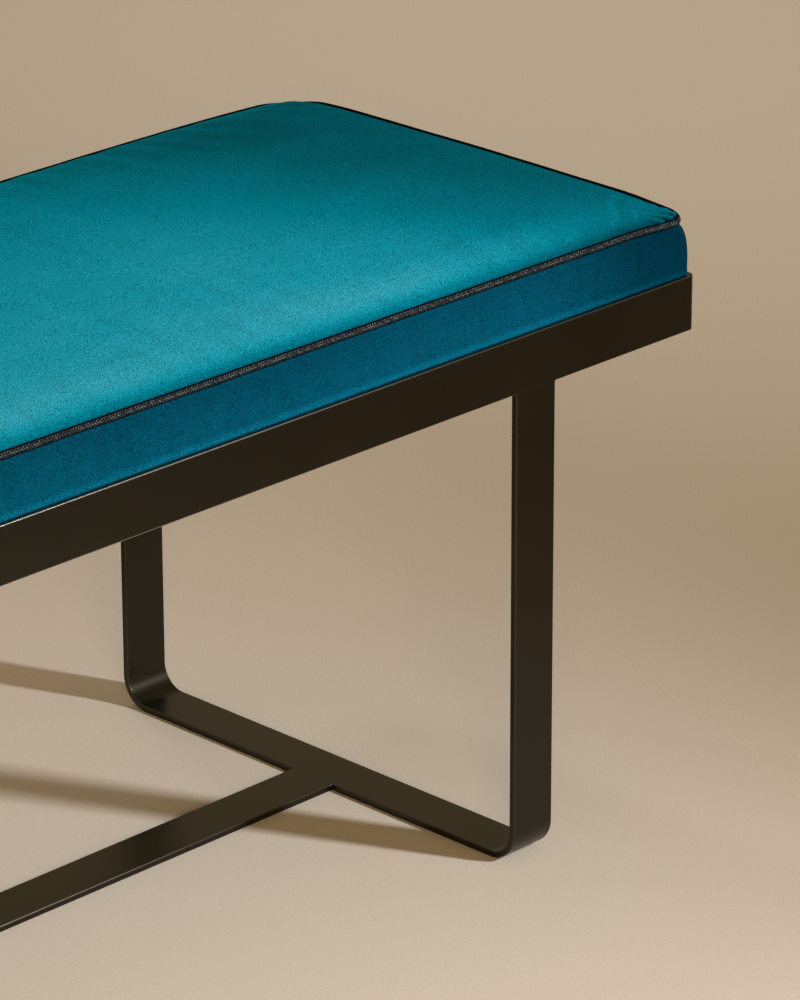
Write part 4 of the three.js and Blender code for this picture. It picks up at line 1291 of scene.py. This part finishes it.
# %% Steel finish
# painted highlight and wear on the arrises, strongest in the middle where the main lamp's glint falls
WEAR_AND_GLINT_REACH, WEAR_AND_GLINT_MIDDLE, WEAR_AND_GLINT_END = 0.38, 1.4, 0.25  # full in the middle, little this far from it
steel = Finish(
    "black bronze powder coat", Specular_IOR_Level=0.38, Specular_Tint=(1.0, 0.89, 0.64, 1),
    Coat_Roughness=0.18, Coat_IOR=1.6,
)
peel = steel.noise(900, 2, 0.5)
clouds = steel.noise(9, 3, 0.6)
from_middle = steel.part(steel.place, "X").math("ABSOLUTE")
worn_unevenly = steel.noise(15, 3, 0.6).ramp(0.1, 0.9, 0.7, 1.0)
wear_and_glint = steel.attribute("edge") * worn_unevenly * from_middle.ramp(0, WEAR_AND_GLINT_REACH, WEAR_AND_GLINT_MIDDLE, WEAR_AND_GLINT_END)
coat = steel.mix(clouds.ramp(0.3, 0.7), (0.0016, 0.0012, 0.0007), (0.0024, 0.0018, 0.0010))
# the paler colour on the arrises is partly wear and partly a painted highlight
steel.feed("Base Color", steel.mix(wear_and_glint * 0.3, coat, (0.22, 0.19, 0.16)))
steel.feed("Coat Weight", wear_and_glint.clamp())
steel.feed("Roughness", 0.27 + 0.06 * clouds - 0.06 * wear_and_glint)
steel.bump(peel, 0.02 * MM, 0.5)
steel.paint(*steel_pieces)

# %% [markdown]
# ## Velvet
# Velvet is a short dense pile. Where it is brushed up towards the eye its tips look pale, and where
# it lies flat one looks into the dark between them. The shader's sheen gives only the pale rim that
# every velvet has, so it is kept low. The large play of light and dark is painted light and shade:
# one number per point picks a colour between flat lying and brushed up, and it carries a painted
# highlight, painted shade and painted sheen. Panel and sides are cut with the pile in different
# directions and have colours of their own; the panel's are lighter partly for that and partly as
# painted sheen, the pale look of velvet seen at a low angle. The colour is the photograph's
# light as well as the cloth's, so it fits best from the front left.
# On top come wide soft patches, and a fine grain that makes the colour brighter and darker.

# %% Velvet finish
velvet = Finish(
    "teal velvet", Roughness=0.9, Sheen_Weight=0.12, Sheen_Roughness=0.4,
    Sheen_Tint=(0.02, 0.80, 1.0, 1), Specular_IOR_Level=0.0,
)
# This number carries painted light and shade as well as how far the pile is brushed up.
light_and_pile = velvet.attribute("light_and_pile")
brushed = velvet.noise(9, 3, 0.55, (1, 1.8, 1)).ramp(0.3, 0.7)
grain = velvet.noise(1500, 1, 0.5, (1.4, 0.75, 1.3)).ramp(0.25, 0.75)
tone = light_and_pile + 0.06 * (brushed - 0.5)
# from flat lying to brushed up in three steps, over a half, a quarter and a quarter of the range; the
# palest step is a painted highlight on the crest
flat_lying = velvet.mix((tone * 2).clamp(), (0.0002, 0.010, 0.016), (0.0006, 0.162, 0.240))
brushed_up = velvet.mix((tone * 4 - 2).clamp(), flat_lying, (0.0080, 0.241, 0.342))
panel_colour = velvet.mix((tone * 4 - 3).clamp(), brushed_up, (0.0480, 0.328, 0.440))
side_colour = velvet.mix(tone.clamp(), (0.0002, 0.006, 0.014), (0.0016, 0.104, 0.184))
# painted shade: the side goes nearly black where it turns down into the tray
side_colour = velvet.scale(side_colour, (tone * 12).clamp())  # nearly black in the groove
even_colour = velvet.mix(velvet.attribute("panel"), side_colour, panel_colour)
grain_light = 1 + (1.65 + 0.25 * tone) * (grain - 0.5)
velvet.feed("Base Color", velvet.scale(even_colour, grain_light))
velvet.bump(grain, 0.1 * MM, 0.5)
velvet.paint(cover)

# %% [markdown]
# ## Braid
# The cord's UV map counts strokes along it and lanes around it. In each lane the strokes lean the
# other way, and chance gives each stroke a darker or a lighter yarn, which makes the fleck. Between
# the strokes it is nearly black, and where the cord lies in the velvet and no light comes in,
# painted shade makes it nearly black too.

# %% Braid finish
SEEN_TURN = 1 / 16  # how far above its outside, in turns, the cord gets most light
braid = Finish("dark flecked braid", Roughness=0.85, Specular_IOR_Level=0.0)
map_place = braid.node("ShaderNodeUVMap", {"uv_map": "UVMap"}, {})
along, lane = braid.part(map_place, "X"), braid.part(map_place, "Y")
across_lane = lane % 1.0
lean = 1 - 2 * (lane.floor() % 2.0)
stroke_line = along + lean * across_lane
round_stroke, round_lane = (stroke_line % 1.0 * math.pi).sine(), (across_lane * math.pi).sine()
inside_stroke = round_stroke * (0.6 + 0.4 * round_lane)
place_in_braid = braid.node("ShaderNodeCombineXYZ", {}, {0: stroke_line.floor(), 1: lane.floor()})
chance = braid.node("ShaderNodeTexWhiteNoise", {"noise_dimensions": "2D"}, {"Vector": place_in_braid})
turn = (lane + CORD_LANES * SEEN_TURN) * (2 * math.pi / CORD_LANES)
# painted shade: the yarn goes dark where the cord lies in the velvet, away from the light
painted_light_share = (turn.math("COSINE") * 0.5 + 0.5).ramp(0.84, 0.98)  # 0 where the cord lies in the velvet
yarn = braid.mix(chance.ramp(0.2, 0.8), (0.038, 0.044, 0.049), (0.110, 0.125, 0.139))
braid.feed("Base Color", braid.mix(inside_stroke.ramp(0.5, 0.95) * painted_light_share, (0.004, 0.005, 0.006), yarn))
braid.bump(inside_stroke, 0.3 * MM)
braid.paint(cord)

# %% [markdown]
# ## What is inside and below
# Foam has open cells, wadding is a tangle of fine fibres, plywood shows its layers on its edges, the
# cloth below is pressed from fibres, and the screws are bright zinc. Nobody looks at them for long,
# so most are one pattern between two colours, and the same pattern gives the relief.

# %% A finish of two colours
def two_colours(finish, pattern, low, high, first, second, relief):
    """The colour goes from first to second where the pattern goes from low to high.

    The same pattern, 0 to 1, stands for the relief in metres."""
    finish.feed("Base Color", finish.mix(pattern.ramp(low, high), first, second))
    finish.bump(pattern, relief)


# %% Finishes of the filling and the under cloth
foam_finish = Finish("cream foam", Roughness=0.95)
cell_inputs = {"Vector": foam_finish.place, "Scale": 700.0}
cells = foam_finish.node("ShaderNodeTexVoronoi", {}, cell_inputs, "Distance")
two_colours(foam_finish, cells, 0.1, 0.6, (0.62, 0.55, 0.38), (0.85, 0.79, 0.60), 0.4 * MM)
foam_finish.paint(foam)

fibre_finish = Finish("white fibre wadding", Roughness=1.0, Sheen_Weight=0.3)
fibres = fibre_finish.noise(90, 6, 0.75, (1, 4, 3), 0.6)
two_colours(fibre_finish, fibres, 0.3, 0.7, (0.78, 0.77, 0.74), (0.93, 0.92, 0.90), 0.6 * MM)
fibre_finish.paint(wadding)

cloth_finish = Finish("black pressed cloth", Roughness=0.9, Sheen_Weight=0.15)
felted = cloth_finish.noise(240, 5, 0.8, (1, 3, 1), 1.2)
two_colours(cloth_finish, felted, 0.3, 0.7, (0.006, 0.006, 0.007), (0.019, 0.019, 0.021), 0.15 * MM)
cloth_finish.paint(cloth)

# %% Finishes of the board and the fixings
VENEER = 1.5 * MM  # thickness of one layer of the board
wood_finish = Finish("birch plywood", Roughness=0.6)
layers = (wood_finish.part(wood_finish.place, "Z") * (math.pi / VENEER)).sine().ramp(-0.4, 0.4)
grain_lines = wood_finish.noise(22, 5, 0.6, (1, 14, 14), 0.4)
face = wood_finish.mix(grain_lines.ramp(0.3, 0.7), (0.47, 0.29, 0.14), (0.62, 0.42, 0.23))
wood_finish.feed("Base Color", wood_finish.mix(layers * 0.4, face, (0.30, 0.17, 0.08)))
wood_finish.bump(grain_lines, 0.1 * MM)
wood_finish.paint(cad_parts["seat_board"])

zinc_finish = Finish("bright zinc plate", Metallic=1.0)
plating = zinc_finish.noise(160, 4, 0.7)
two_colours(zinc_finish, plating, 0.3, 0.7, (0.52, 0.54, 0.56), (0.70, 0.71, 0.71), 0.03 * MM)
zinc_finish.feed("Roughness", 0.22 + 0.18 * plating)
zinc_finish.paint(*zinc_pieces, *[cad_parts[f"tee_nut_{number}"] for number in range(1, 7)])

# %% [markdown]
# ## Floor and light
# The floor is plain and pale. The shadows in the photograph say where the main lamp stands: in front
# and to the right, about 30 degrees up, and small, because their edges are crisp near the bars. It
# is aimed at the floor on the left, so its light falls off towards the right. A warm, wide, low lamp
# at the front left fills the shadows and the velvet's side. A lamp high up behind on the right
# lights the floor there, and a large dim one far behind shows in the tops of the floor bars, as a
# window would. A picture of a room as the world would give all this at once, but it would bring a
# file along. The world is a warm even grey instead.

# %% Floor
FLOOR_HALF = 14.0


def make_floor():
    """One pale square at z = 0. It is declared as stage, because it isn't part of the bench."""
    corners = np.array([(-1, -1, 0), (1, -1, 0), (1, 1, 0), (-1, 1, 0)]) * FLOOR_HALF
    made = mesh_object("floor", corners, [np.array([[0, 1, 2, 3]])], closed=False)
    finish = Finish("pale floor", Roughness=0.9, Specular_IOR_Level=0.1)
    specks = finish.noise(500, 3, 0.7).ramp(0.3, 0.7)
    finish.feed("Base Color", finish.mix(specks, (0.56, 0.49, 0.42), (0.62, 0.545, 0.465)))
    finish.paint(made)
    made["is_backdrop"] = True


make_floor()


# %% Lamps
WORLD_COLOUR, WORLD_STRENGTH = (1.0, 0.74, 0.39, 1), 0.31


def make_lamp(name, place, target, radius, watts, colour, cone_degrees):
    """A round lamp that faces its target; its light fades softly towards the edge of the cone."""
    data = bpy.data.lights.new(name, "SPOT")
    data.shadow_soft_size = radius
    data.energy = watts
    data.color = colour
    data.spot_size = math.radians(cone_degrees)
    data.spot_blend = 1
    lamp = bpy.data.objects.new(name, data)
    lamp.location = place
    lamp.rotation_euler = (Vector(target) - Vector(place)).to_track_quat("-Z", "Y").to_euler()
    bpy.context.scene.collection.objects.link(lamp)
    print(f"{name}: {watts} W at {place}, a cone of {cone_degrees} degrees")


make_lamp("main_lamp", (1.50, -2.40, 1.70), (-1.26, 0.92, 0), 0.1, 540, (0.92, 0.97, 1.02), 59)
make_lamp("soft_lamp", (-1.6, -2.4, 1.1), (0.0, 0, 0.2), 0.5, 161, (1.0, 0.75, 0.42), 100)
make_lamp("back_lamp", (1.5, 2.5, 5.0), (2.0, 0.95, 0), 0.6, 520, (0.98, 1.0, 0.98), 42)
make_lamp("far_lamp", (3.6, 3.3, 1.9), (0.3, 0, 0), 1.0, 5, (1.0, 0.80, 0.50), 40)

world = bpy.data.worlds.new("studio")
bpy.context.scene.world = world
world.use_nodes = True
background = world.node_tree.nodes["Background"]
background.inputs["Color"].default_value = WORLD_COLOUR
background.inputs["Strength"].default_value = WORLD_STRENGTH
bpy.context.scene.view_settings.view_transform = "Standard"

# %% [markdown]
# ## The sizes side by side
# The looks must not change the size of the bench, so the box of the frame and the box of what now
# shows are printed side by side.

# %% Print the sizes
looks_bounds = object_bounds()
for word, (low, high) in (("frame", cad_bounds), ("looks", looks_bounds)):
    print(word, [round(v, 4) for v in low], [round(v, 4) for v in high])
